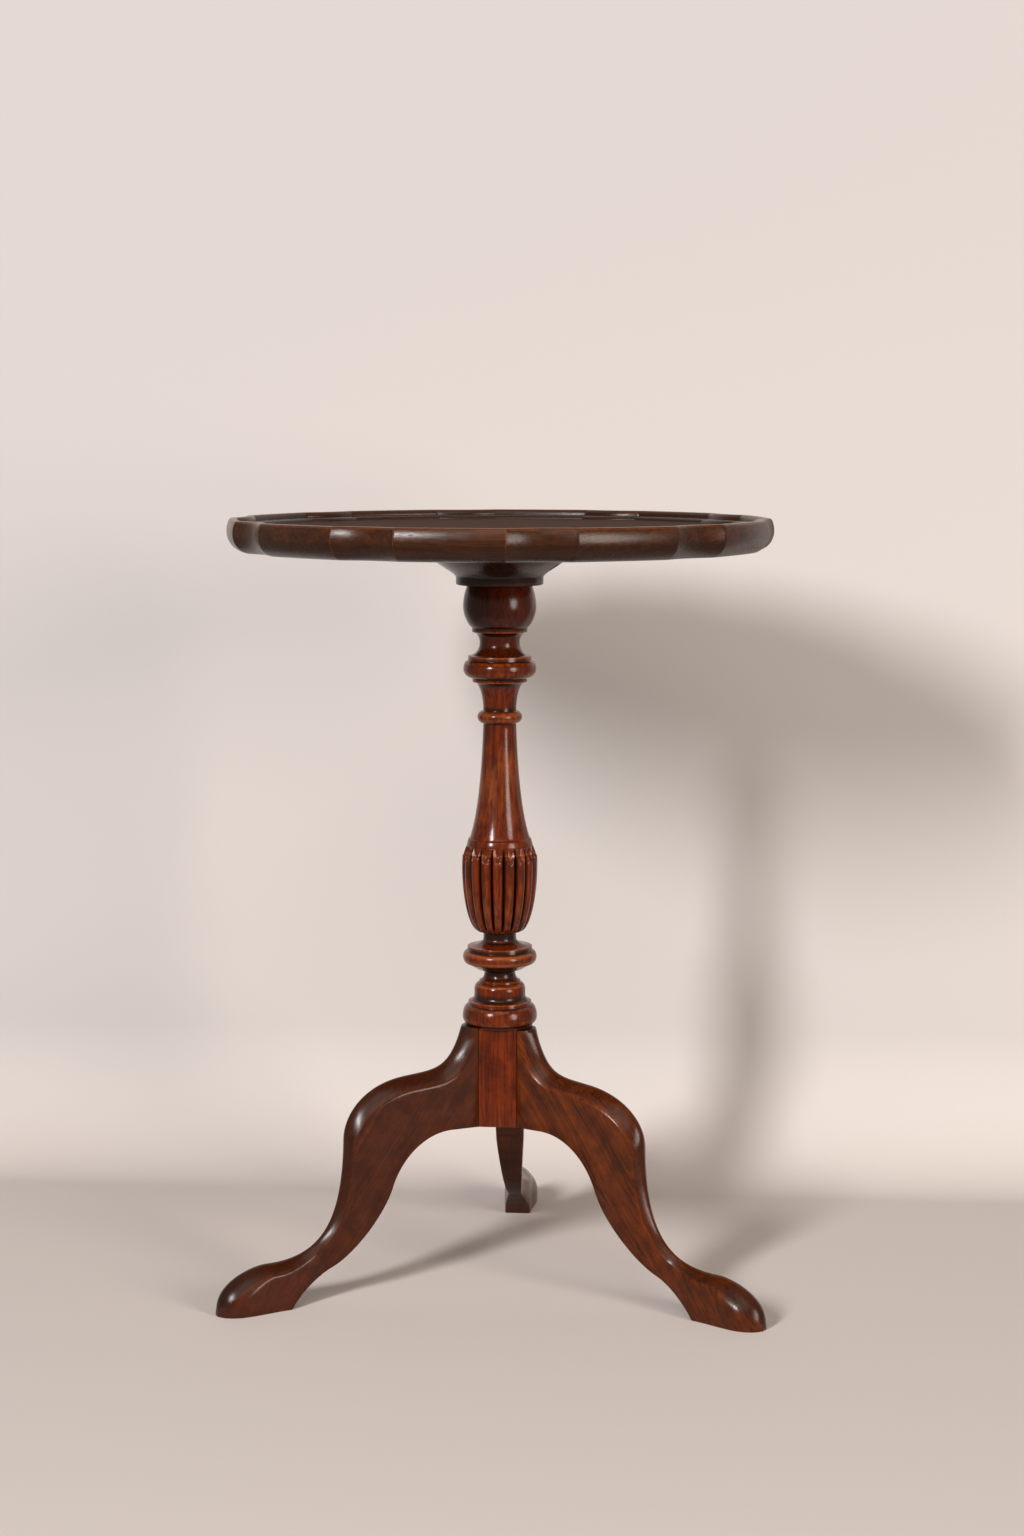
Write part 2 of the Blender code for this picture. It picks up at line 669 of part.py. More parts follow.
# Top: the rim's section carried round its scalloped plan, insets measured inwards from the plan
section = [(OVOLO_WIDTH, 0.0)]
section += quarter(section[-1], (0.0, OVOLO_HEIGHT), 4, True)
section += [(0.0, TOP_THICKNESS - EDGE_ROUND)]
section += quarter(section[-1], (EDGE_ROUND, TOP_THICKNESS), 1, False)
section += [(EDGE_ROUND + CREST_WIDTH, TOP_THICKNESS)]
bead_foot = (section[-1][0] + BEAD_WIDTH, TOP_THICKNESS - BEAD_FALL)
section += quarter(section[-1], bead_foot, 2, True)
section += [(bead_foot[0] + FILLET_WIDTH, bead_foot[1])]
section += quarter(section[-1], (section[-1][0] + COVE_WIDTH, bead_foot[1] - COVE_FALL), 2, True)
bm = bmesh.new()
rings = []
for inset, height in section:
    rings.append([bm.verts.new(polar(radius - inset, angle, height)) for angle, radius in rim])
loft(bm, rings)
top = place("table_top", finished_mesh("table_top", bm), (0.0, 0.0, top_z))
cut(top, screw_holes)
dress(top, dark_polish)
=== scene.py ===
"""The looks of the tripod wine table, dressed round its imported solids.

The sections follow the table as it is put together: the column is turned, fluted and cut for its
joints, the legs are hung on it, the wedge, the collar and its screws follow, and the piecrust top
goes on last. The studio and the camera come after the table.
"""

import math

import bmesh
import bpy
from mathutils import Matrix, Vector


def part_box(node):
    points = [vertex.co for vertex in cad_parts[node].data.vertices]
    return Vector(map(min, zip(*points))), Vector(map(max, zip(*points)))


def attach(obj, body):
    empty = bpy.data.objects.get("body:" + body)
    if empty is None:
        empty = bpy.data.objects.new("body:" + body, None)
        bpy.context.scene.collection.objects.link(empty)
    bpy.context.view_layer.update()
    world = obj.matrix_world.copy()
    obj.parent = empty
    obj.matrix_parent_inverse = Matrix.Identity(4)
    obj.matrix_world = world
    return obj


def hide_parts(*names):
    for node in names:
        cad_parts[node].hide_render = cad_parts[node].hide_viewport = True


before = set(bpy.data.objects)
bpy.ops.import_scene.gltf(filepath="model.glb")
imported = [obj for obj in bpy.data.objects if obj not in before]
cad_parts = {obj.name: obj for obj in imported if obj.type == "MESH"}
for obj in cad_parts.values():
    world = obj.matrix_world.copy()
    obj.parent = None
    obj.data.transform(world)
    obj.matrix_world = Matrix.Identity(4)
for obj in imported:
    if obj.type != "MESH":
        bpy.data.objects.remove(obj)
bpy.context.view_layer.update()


# Column, from the block at its foot to the tenon at its head. One length of mahogany turned between
# centres, with eighteen flutes carved down the bulb, then cut for the dovetails of the legs and sawn
# across the tenon for its wedge. French polished, with old wax and dirt left in its hollows, and painted
# shade on the scoops and the ball.

column_low, column_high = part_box("column")
axis = Vector(((column_low.x + column_high.x) / 2, (column_low.y + column_high.y) / 2, 0.0))

# The turner's list from the foot up, in millimetres: the form, how the line runs, the radius it ends on
# and its rise. A swell leaves level and arrives plumb, a round leaves plumb and arrives level.
turning = (
    ("block", "straight", 30.0, 88.0),
    ("block groove", "straight", 29.3, 0.0),
    ("block groove", "straight", 29.3, 2.5),
    ("base torus", "swell", 33.3, 6.0),
    ("base torus", "round", 28.5, 10.6),
    ("base fillet", "straight", 28.1, 0.4),
    ("base fillet", "straight", 28.1, 3.0),
    ("drum", "swell", 22.8, 5.0),
    ("drum", "straight", 22.8, 5.0),
    ("drum", "round", 18.4, 6.6),
    ("drum", "straight", 18.4, 2.0),
    ("waist", "swell", 13.8, 7.2),
    ("waist", "round", 20.5, 3.2),
    ("lower torus", "straight", 29.2, 5.0),
    ("lower torus", "swell", 32.9, 6.1),
    ("lower torus", "round", 29.2, 5.2),
    ("lower fillet", "straight", 28.8, 0.3),
    ("lower fillet", "straight", 28.8, 4.0),
    ("bulb neck", "swell", 14.6, 7.0),
    ("bulb neck", "straight", 14.6, 5.3),
    ("bulb neck", "straight", 18.2, 0.9),
    ("bulb", "swell", 33.7, 58.8),
    ("bulb", "round", 33.3, 12.0),
    ("shoulder", "straight", 29.4, 6.4),
    ("band", "straight", 29.1, 0.2),
    ("band", "straight", 29.0, 0.5),
    ("band", "straight", 29.3, 0.2),
    ("band", "straight", 27.9, 4.9),
    ("band", "straight", 26.6, 1.2),
    ("shaft", "shaft", 14.6, 102.1),
    ("astragal", "swell", 19.7, 5.5),
    ("astragal", "round", 14.6, 5.5),
    ("flare", "round", 23.0, 25.5),
    ("flare", "straight", 24.1, 0.0),
    ("flare", "straight", 24.1, 3.5),
    ("upper torus", "swell", 32.1, 7.8),
    ("upper torus", "round", 28.2, 7.5),
    ("upper fillet", "straight", 27.8, 0.3),
    ("upper fillet", "straight", 27.8, 4.0),
    ("ball neck", "swell", 17.6, 11.5),
    ("ball neck", "round", 24.4, 9.5),
    ("ball neck", "straight", 24.4, 3.8),
    ("ball", "ball", 28.6, 37.4),
    ("tenon", "straight", 12.5, 0.0),
    ("tenon", "straight", 12.5, 30.3),
)
ball_foot, ball_girth = 25.4, 32.2
shaft_lean, shaft_slim = (0.45, 0.191), (0.117, 0.544)
corner_round = 0.45
MM = 0.001


def bezier(start, leave, arrive, end, t):
    """Point on a cubic curve with its two handles."""
    s = 1.0 - t
    return start * s ** 3 + leave * (3 * s * s * t) + arrive * (3 * s * t * t) + end * t ** 3


def run(kind, start, radius, rise, steps):
    """Points of one entry of a turner's list, after its start."""
    end = Vector((radius, start.y + rise))
    span = end - start
    points = []
    for step in range(1, steps + 1):
        t = step / steps
        turn = math.radians(90.0) * t
        slow, fast = 1.0 - math.cos(turn), math.sin(turn)
        if kind == "swell":
            points.append(start + Vector((span.x * fast, span.y * slow)))
        elif kind == "round":
            points.append(start + Vector((span.x * slow, span.y * fast)))
        elif kind == "shaft":
            leave = Vector((end.x - shaft_lean[0] * span.x, start.y + shaft_lean[1] * rise))
            arrive = Vector((end.x - shaft_slim[0] * span.x, start.y + shaft_slim[1] * rise))
            points.append(bezier(start, leave, arrive, end, t))
        elif kind == "ball":
            lift = 2.0 * t - 1.0
            edge = radius if lift > 0.0 else ball_foot
            points.append(Vector((ball_girth - (ball_girth - edge) * lift * lift, start.y + rise * t)))
        else:
            points.append(start + span * t)
    return points


def soften(line, radius):
    """Round the corners of an outline, as sanding and wear do."""
    least_corner, same_point = math.radians(25.0), 1e-6
    soft = [line[0]]
    for before, corner, after in zip(line, line[1:], line[2:]):
        back, on = before - corner, after - corner
        if min(back.length, on.length) < same_point:
            continue
        if back.angle(-on) < least_corner:
            soft.append(corner)
            continue
        reach = min(radius, back.length / 2, on.length / 2)
        a, b = corner + back.normalized() * reach, corner + on.normalized() * reach
        soft += [a, (a + b) / 4 + corner / 2, b]
    return soft + [line[-1]]


def recess(line, reach):
    """How far each point of an outline lies behind its neighbours, so that hollows are positive."""
    lengths = [(b - a).length for a, b in zip(line, line[1:])]
    weights = [a + b for a, b in zip([0.0] + lengths, lengths + [0.0])]
    depths = []
    for i, point in enumerate(line):
        near = [(w, q) for w, q in zip(weights, line) if (q - point).length < reach]
        middle = sum((q * w for w, q in near), Vector((0.0, 0.0))) / sum(w for w, _ in near)
        tangent = (line[min(i + 1, len(line) - 1)] - line[max(i - 1, 0)]).normalized()
        depths.append((middle - point).dot(Vector((tangent.y, -tangent.x))))
    return depths


def add_object(name, data):
    """Object in the scene for a mesh, a lamp or a camera."""
    made = bpy.data.objects.new(name, data)
    bpy.context.scene.collection.objects.link(made)
    return made


def piece_from(name, mesh):
    """Object of the table for a finished mesh, shaded round with its sharp edges kept."""
    crisp_angle = math.radians(42.0)
    mesh.shade_smooth()
    mesh.set_sharp_from_angle(angle=crisp_angle)
    return add_object(name, mesh)


def as_mesh(piece):
    """Plain mesh of a piece with its modifiers carried out."""
    bpy.context.view_layer.update()
    shape = piece.evaluated_get(bpy.context.evaluated_depsgraph_get())
    return bpy.data.meshes.new_from_object(shape)


def skin(bm, rings, closed=False):
    """Faces from ring to ring of points, and over both ends unless the last ring meets the first."""
    count = len(rings[0])
    pairs = list(zip(rings, rings[1:])) + ([(rings[-1], rings[0])] if closed else [])
    for before, after in pairs:
        for i in range(count):
            j = (i + 1) % count
            bm.faces.new((before[i], before[j], after[j], after[i]))
    if not closed:
        bm.faces.new(list(reversed(rings[0])))
        bm.faces.new(rings[-1])


def mesh_of(name, bm):
    """Mesh of what a bmesh holds, with its faces turned outwards."""
    bmesh.ops.recalc_face_normals(bm, faces=bm.faces)
    mesh = bpy.data.meshes.new(name)
    bm.to_mesh(mesh)
    bm.free()
    return mesh


def revolve(name, line, marks, angles, closed=False):
    """Mesh of an outline carried round the axis, with its hollow and ridge marks on the points."""
    bm = bmesh.new()
    layers = [bm.verts.layers.float.new(mark) for mark in ("hollow", "ridge")]
    rings = []
    for point, mark in zip(line, marks):
        ring = []
        for angle in angles:
            turned = Vector((math.cos(angle) * point.x, math.sin(angle) * point.x, point.y))
            vert = bm.verts.new(axis + turned)
            for layer, value in zip(layers, (mark, -mark)):
                vert[layer] = min(1.0, max(0.0, value))
            ring.append(vert)
        rings.append(ring)
    skin(bm, rings, closed)
    return mesh_of(name, bm)


_, _, block_radius, block_rise = turning[0]
block_r, block_foot, block_top = block_radius * MM, column_low.z, column_low.z + block_rise * MM
line = [Vector((block_radius, block_foot / MM))]
foot_of = {}
curve_steps, long_curve, long_steps = 9, 40.0, 26
steps_of = {"straight": 1, "shaft": 28, "ball": 22}
for form, kind, radius, rise in turning:
    foot_of.setdefault(form, line[-1].y * MM)
    steps = steps_of.get(kind, long_steps if rise > long_curve else curve_steps)
    line += run(kind, line[-1], radius, rise, steps)
line = soften(line, corner_round)
hollow_reach, hollow_depth = 4.5, 0.8
marks = [depth / hollow_depth for depth in recess(line, hollow_reach)]
belly_reach, belly_depth, belly_dirt = 9.0, 4.2, 0.6
bellies = [depth / belly_depth for depth in recess(line, belly_reach)]
marks = [
    max(mark, belly_dirt * belly) if mark > 0.0 else min(mark, belly)
    for mark, belly in zip(marks, bellies)
]
# Hands have rubbed the shaft lighter, and the ball is darkened with painted shade, standing in for the shadow
# that the top casts on it
shaft_rub, ball_painted_shade = 0.66, 0.32
shaft_rise = foot_of["astragal"] - foot_of["shaft"]
for i, point in enumerate(line):
    up_shaft = (point.y * MM - foot_of["shaft"]) / shaft_rise
    if 0.0 < up_shaft < 1.0:
        marks[i] = min(marks[i], -shaft_rub * math.sin(math.pi * up_shaft) ** 0.5)
    if foot_of["ball"] < point.y * MM < foot_of["tenon"]:
        marks[i] = max(marks[i], ball_painted_shade)
line = [point * MM for point in line]

# Vertices gather at the grooves of the flutes
flutes, flute_turn, per_flute, gather = 18, math.radians(1.5), 12, 0.6
angles = []
for i in range(flutes * per_flute):
    t = i / per_flute
    share = t - gather * math.sin(2 * math.pi * t) / (2 * math.pi)
    angles.append(flute_turn + share * 2 * math.pi / flutes)
blank = piece_from("column_blank", revolve("column_blank", line, marks, angles))


def node(tree, kind, inputs=None, **settings):
    """Add a node. Inputs go by name or place and are numbers, colours or outputs of other nodes."""
    made = tree.nodes.new(kind)
    for key, value in settings.items():
        setattr(made, key, value)
    for key, value in (inputs or {}).items():
        value = getattr(value, "socket", value)
        if isinstance(value, bpy.types.NodeSocket):
            tree.links.new(value, made.inputs[key])
        else:
            made.inputs[key].default_value = value
    return made


class Number:
    """A value in a node tree, so that the rule for a shape or a colour can be written as a sum."""

    def __init__(self, tree, socket):
        self.tree = tree
        self.socket = socket

    def math(self, operation, *others):
        inputs = dict(enumerate((self, *others)))
        return Number(self.tree, node(self.tree, "ShaderNodeMath", inputs, operation=operation).outputs[0])

    def ramp(self, start, end):
        """Rises smoothly from 0 at start to 1 at end."""
        inputs = {"Value": self, "From Min": start, "From Max": end}
        made = node(self.tree, "ShaderNodeMapRange", inputs, interpolation_type="SMOOTHSTEP")
        return Number(self.tree, made.outputs["Result"])

    def low(self, other):
        return self.math("MINIMUM", other)

    def high(self, other):
        return self.math("MAXIMUM", other)

    def __add__(self, other):
        return self.math("ADD", other)

    def __sub__(self, other):
        return self.math("SUBTRACT", other)

    def __rsub__(self, other):
        return self * -1.0 + other

    def __mul__(self, other):
        return self.math("MULTIPLY", other)

    def __truediv__(self, other):
        return self.math("DIVIDE", other)

    def __rtruediv__(self, other):
        made = node(self.tree, "ShaderNodeMath", {0: other, 1: self}, operation="DIVIDE")
        return Number(self.tree, made.outputs[0])

    def __pow__(self, other):
        return self.math("POWER", other)

    def __abs__(self):
        return self.math("ABSOLUTE")


def new_tree(name, kind, inputs, outputs):
    """Node group with named sockets, given as name: (socket type, default). Also gives its two ends."""
    tree = bpy.data.node_groups.new(name, kind)
    for label, (socket_type, default) in inputs.items():
        socket = tree.interface.new_socket(label, in_out="INPUT", socket_type=socket_type)
        if default is not None:
            socket.default_value = default
    for label, socket_type in outputs.items():
        tree.interface.new_socket(label, in_out="OUTPUT", socket_type=socket_type)
    return tree, node(tree, "NodeGroupInput"), node(tree, "NodeGroupOutput")


def grow(piece, tree, values):
    """Run a geometry tree on a piece and give the plain mesh that comes out."""
    modifier = piece.modifiers.new(tree.name, "NODES")
    modifier.node_group = tree
    for item in tree.interface.items_tree:
        if item.in_out == "INPUT" and item.name in values:
            modifier[item.identifier] = values[item.name]
    mesh = as_mesh(piece)
    piece.modifiers.remove(modifier)
    return mesh


def store(tree, geometry, name, value):
    """Keep a number on the points of a mesh under a name that a material can read."""
    inputs = {"Geometry": geometry, "Name": name, "Value": value}
    made = node(tree, "GeometryNodeStoreNamedAttribute", inputs, data_type="FLOAT", domain="POINT")
    return made.outputs["Geometry"]


def named(tree, name):
    made = node(tree, "GeometryNodeInputNamedAttribute", {"Name": name}, data_type="FLOAT")
    return Number(tree, made.outputs["Attribute"])


def spot(tree):
    """Coordinates of the point that a geometry tree works on, as numbers."""
    place = node(tree, "GeometryNodeInputPosition")
    split = node(tree, "ShaderNodeSeparateXYZ", {0: place.outputs[0]})
    return [Number(tree, socket) for socket in split.outputs]


def close_tree(tree, geometry, first, last):
    """Realize Instances and Set Material, which end every geometry tree here."""
    real = node(tree, "GeometryNodeRealizeInstances", {"Geometry": geometry})
    inputs = {"Geometry": real.outputs[0], "Material": first.outputs["Material"]}
    dressed = node(tree, "GeometryNodeSetMaterial", inputs)
    tree.links.new(dressed.outputs[0], last.inputs["Geometry"])


GEOMETRY, MATERIAL = "NodeSocketGeometry", "NodeSocketMaterial"
FLOAT, WHOLE = "NodeSocketFloat", "NodeSocketInt"


def sizes_in(tree, first, sockets):
    """The sizes and amounts that a tree is given, as numbers."""
    sizes = [name for name, (kind, _) in sockets.items() if kind in (FLOAT, WHOLE)]
    return {name: Number(tree, first.outputs[name]) for name in sizes}


flute_sizes = {
    "Geometry": (GEOMETRY, None), "Material": (MATERIAL, None),
    "Count": (FLOAT, 18.0), "Turn": (FLOAT, 0.0), "Axis Y": (FLOAT, 0.0),
    "Depth": (FLOAT, 0.0031), "Crown": (FLOAT, 0.0018), "Groove": (FLOAT, 0.18),
    "Foot": (FLOAT, 0.0), "Full": (FLOAT, 0.0), "Top": (FLOAT, 0.0), "End": (FLOAT, 0.0),
    "Scoop": (FLOAT, 0.0098), "Scoop Run": (FLOAT, 0.0075),
    "Lip": (FLOAT, 0.0337), "Inner": (FLOAT, 0.0291),
}
flute_tree, first, last = new_tree("flutes", "GeometryNodeTree", flute_sizes, {"Geometry": GEOMETRY})
size = sizes_in(flute_tree, first, flute_sizes)
x, y, z = spot(flute_tree)
y = y - size["Axis Y"]
radius = (x * x + y * y) ** 0.5
turns = y.math("ARCTAN2", x) / (2 * math.pi) * size["Count"] - size["Turn"]
across = abs((turns + 0.5).math("FRACT") - 0.5)
fade = z.ramp(size["Foot"], size["Full"])
groove_curve = 0.8
groove = (1.0 - across / size["Groove"]).high(0.0) ** groove_curve
bow = (1.0 - across * 2.0) ** 2.0
in_bulb = z.math("LESS_THAN", size["End"])
carved = radius - (groove * size["Depth"] + bow * size["Crown"]) * fade * in_bulb
side = (0.5 - across) / (0.5 - size["Groove"] * 0.4)
scoop_edge = size["Top"] - size["Scoop"] * (1.0 - side * side).high(0.0)
up_scoop = ((z - scoop_edge) / size["Scoop Run"]).high(0.0).low(1.0)
scooped = size["Inner"] + (size["Lip"] - size["Inner"]) * (1.0 - up_scoop) ** 2.0
cut_back = carved.low(scooped + (1.0 - in_bulb))
scale = cut_back / radius
place = node(flute_tree, "ShaderNodeCombineXYZ", {0: x * scale, 1: y * scale + size["Axis Y"], 2: z})
inputs = {"Geometry": first.outputs["Geometry"], "Position": place.outputs[0]}
moved = node(flute_tree, "GeometryNodeSetPosition", inputs)
# Dirt lies in the grooves, and the scoops are darkened with painted shade. The edges beside the grooves and
# the scoops' lower edges are lighter, partly wear and partly painted highlight; wear also shows along the
# reeds between.
scoop_painted_shade, arris_wear_and_highlight, reed_wear = 0.25, 0.95, 0.55
arris_off, arris_width, scoop_arris_width = 1.15, 0.11, 0.0011
reed_start, reed_full = 0.16, 0.34
in_groove = groove * fade * in_bulb
on_scoop = up_scoop.ramp(0.1, 0.6) * in_bulb * fade
arris = (1.0 - abs(across - size["Groove"] * arris_off) / arris_width).high(0.0) * fade * in_bulb
reed = across.ramp(reed_start, reed_full) * fade * in_bulb
scoop_arris = (1.0 - abs(z - scoop_edge) / scoop_arris_width).high(0.0) * in_bulb * fade
dirt_and_painted_shade = named(flute_tree, "hollow").high(in_groove).high(on_scoop * scoop_painted_shade)
rubbed_and_highlit = named(flute_tree, "ridge").high(arris * arris_wear_and_highlight).high(reed * reed_wear).high(scoop_arris)
marked = store(flute_tree, moved.outputs[0], "hollow", dirt_and_painted_shade)
marked = store(flute_tree, marked, "ridge", rubbed_and_highlit)
close_tree(flute_tree, marked, first, last)


def noise(tree, vector, scale, detail=3.0, roughness=0.55):
    """Noise in a stretched space, so that a scale can differ along the grain."""
    stretched = node(tree, "ShaderNodeMapping", {"Vector": vector, "Scale": scale})
    inputs = {"Vector": stretched.outputs[0], "Scale": 1.0, "Detail": detail, "Roughness": roughness}
    return Number(tree, node(tree, "ShaderNodeTexNoise", inputs).outputs["Fac"])


def mix(tree, factor, a, b):
    """Colour between a and b."""
    return node(tree, "ShaderNodeMix", {0: factor, 6: a, 7: b}, data_type="RGBA").outputs[2]


# Mahogany: streaks that wander along the grain, broad bands of figure and short dark pores.
# The grain runs along Z of the vector that comes in.
VECTOR, COLOUR = "NodeSocketVector", "NodeSocketColor"
GRAIN_SOCKETS = {
    "Vector": (VECTOR, (0.0, 0.0, 0.0)),
    "Light": (COLOUR, (0.2, 0.05, 0.015, 1.0)), "Dark": (COLOUR, (0.04, 0.01, 0.004, 1.0)),
    "Streaks": (FLOAT, 0.5), "Figure": (FLOAT, 0.5), "Pores": (FLOAT, 0.5),
}
outputs = {"Color": COLOUR, "Height": FLOAT}
mahogany, first, last = new_tree("mahogany_grain", "ShaderNodeTree", GRAIN_SOCKETS, outputs)
vector = first.outputs["Vector"]
wander = node(mahogany, "ShaderNodeMapping", {"Vector": vector, "Scale": (9.0, 9.0, 5.0)})
drift = node(mahogany, "ShaderNodeTexNoise", {"Vector": wander.outputs[0], "Scale": 1.0, "Detail": 2.0})
drift_width = (0.012, 0.012, 0.0)
inputs = {0: drift.outputs["Color"], 1: drift_width}
shift = node(mahogany, "ShaderNodeVectorMath", inputs, operation="MULTIPLY")
bent = node(mahogany, "ShaderNodeVectorMath", {0: vector, 1: shift.outputs[0]}, operation="ADD").outputs[0]
streak = noise(mahogany, bent, (420.0, 420.0, 9.0), 4.0, 0.6)
band = noise(mahogany, bent, (95.0, 95.0, 4.0), 3.0)
ribbon = noise(mahogany, bent, (28.0, 28.0, 14.0), 2.0)
pores = noise(mahogany, bent, (1500.0, 1500.0, 90.0), 2.0).ramp(0.54, 0.72)
given = sizes_in(mahogany, first, GRAIN_SOCKETS)
amount, figure = given["Streaks"], given["Figure"]
streak_weight, band_weight, ribbon_weight = 2.4, 1.8, 1.2
tone = (streak - 0.5) * amount * streak_weight + (band - 0.5) * figure * band_weight
tone = tone + (ribbon - 0.5) * figure * ribbon_weight + 0.5
colour = mix(mahogany, tone.high(0.0).low(1.0), first.outputs["Dark"], first.outputs["Light"])
dark_pores = pores * given["Pores"]
pore_weight, vein_width, vein_weight = 0.75, 0.022, 1.5
colour = mix(mahogany, dark_pores * pore_weight, colour, first.outputs["Dark"])
vein = (1.0 - abs(band - 0.5) / vein_width).high(0.0) * ribbon.ramp(0.40, 0.6)
colour = mix(mahogany, vein * figure * vein_weight, colour, first.outputs["Dark"])
mahogany.links.new(colour, last.inputs["Color"])
mahogany.links.new((streak * 0.35 - dark_pores * 0.65).socket, last.inputs["Height"])

# Old polish: dirt and wax in the hollows, wood rubbed bare on the ridges, and a surface that is never
# quite flat. The dark colour also paints shade, and the worn colour paints highlights, where the pieces'
# hollow and ridge marks carry them.
POLISH_SOCKETS = {
    "Vector": (VECTOR, (0.0, 0.0, 0.0)), "Color": (COLOUR, (0.2, 0.05, 0.015, 1.0)),
    "Dirt And Shade": (COLOUR, (0.009, 0.004, 0.0022, 1.0)), "Worn And Highlight": (COLOUR, (0.40, 0.10, 0.022, 1.0)),
    "Hollow": (FLOAT, 0.0), "Ridge": (FLOAT, 0.0), "Darkening Amount": (FLOAT, 0.9), "Wear And Highlight": (FLOAT, 0.5),
    "Gloss": (FLOAT, 0.2),
}
outputs = {"Color": COLOUR, "Roughness": FLOAT, "Height": FLOAT}
polish, first, last = new_tree("old_polish", "ShaderNodeTree", POLISH_SOCKETS, outputs)
vector = first.outputs["Vector"]
blotch = noise(polish, vector, (60.0, 60.0, 60.0), 4.0, 0.6)
rub = noise(polish, vector, (240.0, 240.0, 40.0), 3.0)
ripple = noise(polish, vector, (200.0, 200.0, 200.0), 2.0)
speckle = noise(polish, vector, (750.0, 750.0, 750.0), 2.0)
given = sizes_in(polish, first, POLISH_SOCKETS)
dirt_and_shade_patches, wear_and_highlight_patches, cloud_dirt = 0.5, 0.9, 0.45
dirt_and_shade = (given["Hollow"] + (blotch - 0.5) * dirt_and_shade_patches).ramp(0.12, 0.75) * given["Darkening Amount"]
wear_and_highlight = (given["Ridge"] + (rub - 0.5) * wear_and_highlight_patches).ramp(0.45, 0.95) * given["Wear And Highlight"]
clouds = blotch.ramp(0.62, 0.30) * cloud_dirt
cloudy = mix(polish, clouds, first.outputs["Color"], first.outputs["Dirt And Shade"])
colour = mix(polish, wear_and_highlight, cloudy, first.outputs["Worn And Highlight"])
colour = mix(polish, dirt_and_shade, colour, first.outputs["Dirt And Shade"])
polish.links.new(colour, last.inputs["Color"])
blotch_rough, dirt_and_shade_rough, wear_and_highlight_rough, least_rough = 0.14, 0.05, 0.08, 0.06
rough = given["Gloss"] + (blotch - 0.5) * blotch_rough
rough = rough + dirt_and_shade * dirt_and_shade_rough + wear_and_highlight * wear_and_highlight_rough
polish.links.new(rough.high(least_rough).socket, last.inputs["Roughness"])
polish.links.new((ripple * 0.2 + speckle * 0.4).socket, last.inputs["Height"])


def new_material(name):
    """Material with its node tree and its shader."""
    material = bpy.data.materials.new(name)
    material.use_nodes = True
    return material, material.node_tree, material.node_tree.nodes["Principled BSDF"]


def own_place(tree):
    """Coordinates of the piece that a material is on."""
    return node(tree, "ShaderNodeTexCoord").outputs["Object"]


def wood(name, vector_from, grain, finish, bump=0.12, sawn=None, dull=0.25, shine=0.3):
    """Polished wood: grain under old polish. vector_from makes the grain's coordinates in the tree.

    Faces marked as sawn are rougher by dull, with marks across the grain as dark and deep as sawn says.
    """
    kerf_scale, kerf_dirt, kerf_depth = (16.0, 16.0, 420.0), 0.3, 2.0
    grain_depth, relief_height = 0.5, 0.0008
    material, tree, shader = new_material(name)
    vector = vector_from(tree)
    figured = node(tree, "ShaderNodeGroup", {"Vector": vector, **grain}, node_tree=mahogany)
    given = {"Vector": vector, "Color": figured.outputs["Color"], **finish}
    for mark in ("Hollow", "Ridge"):
        given[mark] = node(tree, "ShaderNodeAttribute", attribute_name=mark.lower()).outputs["Fac"]
    if sawn is not None:
        rough = Number(tree, node(tree, "ShaderNodeAttribute", attribute_name="sawn").outputs["Fac"])
        kerfs = noise(tree, vector, kerf_scale, 2.0)
        given["Hollow"] = Number(tree, given["Hollow"]) + rough * kerfs.ramp(0.62, 0.40) * (kerf_dirt * sawn)
    finished = node(tree, "ShaderNodeGroup", given, node_tree=polish)
    roughness = Number(tree, finished.outputs["Roughness"])
    relief = Number(tree, figured.outputs["Height"]) * grain_depth + Number(tree, finished.outputs["Height"])
    if sawn is not None:
        relief = relief + rough * kerfs * (kerf_depth * sawn)
        roughness = roughness + rough * dull
    tree.links.new(finished.outputs["Color"], shader.inputs["Base Color"])
    tree.links.new(roughness.socket, shader.inputs["Roughness"])
    raised = node(tree, "ShaderNodeBump", {"Strength": bump, "Distance": relief_height, "Height": relief})
    tree.links.new(raised.outputs[0], shader.inputs["Normal"])
    shader.inputs["Specular IOR Level"].default_value = shine
    return material


def upright_grain(tree):
    """Grain along Z, centred on the column."""
    inputs = {"Vector": own_place(tree), "Location": -axis}
    return node(tree, "ShaderNodeMapping", inputs).outputs[0]


column_wood = wood(
    "column_mahogany", upright_grain,
    {"Light": (0.28, 0.037, 0.004, 1.0), "Dark": (0.052, 0.006, 0.001, 1.0), "Streaks": 0.8, "Figure": 0.4,
     "Pores": 0.9},
    {"Darkening Amount": 0.9, "Wear And Highlight": 0.7, "Gloss": 0.17}, bump=0.06,
)
flute_lead, flute_run, scoop_rise = 0.002, 0.008, 0.0034
values = {
    "Material": column_wood, "Count": float(flutes), "Turn": flute_turn / (2 * math.pi) * flutes,
    "Axis Y": axis.y, "Foot": foot_of["bulb"] - flute_lead, "Full": foot_of["bulb"] + flute_run,
    "Top": foot_of["shoulder"] + scoop_rise, "End": foot_of["band"],
}
column = piece_from("turned_column", grow(blank, flute_tree, values))
bpy.data.objects.remove(blank, do_unlink=True)

# Flats and dovetail sockets for the legs, and the saw kerf for the wedge
leg_angles = {"leg_back": 90.0, "leg_left": 210.0, "leg_right": 330.0}
leg_half, gap = 0.0136, 0.0003
key_neck, key_width, key_depth, key_height = 0.0055, 0.0075, 0.011, 0.070
flat = math.sqrt(block_r ** 2 - leg_half ** 2)
leg_face = flat + gap


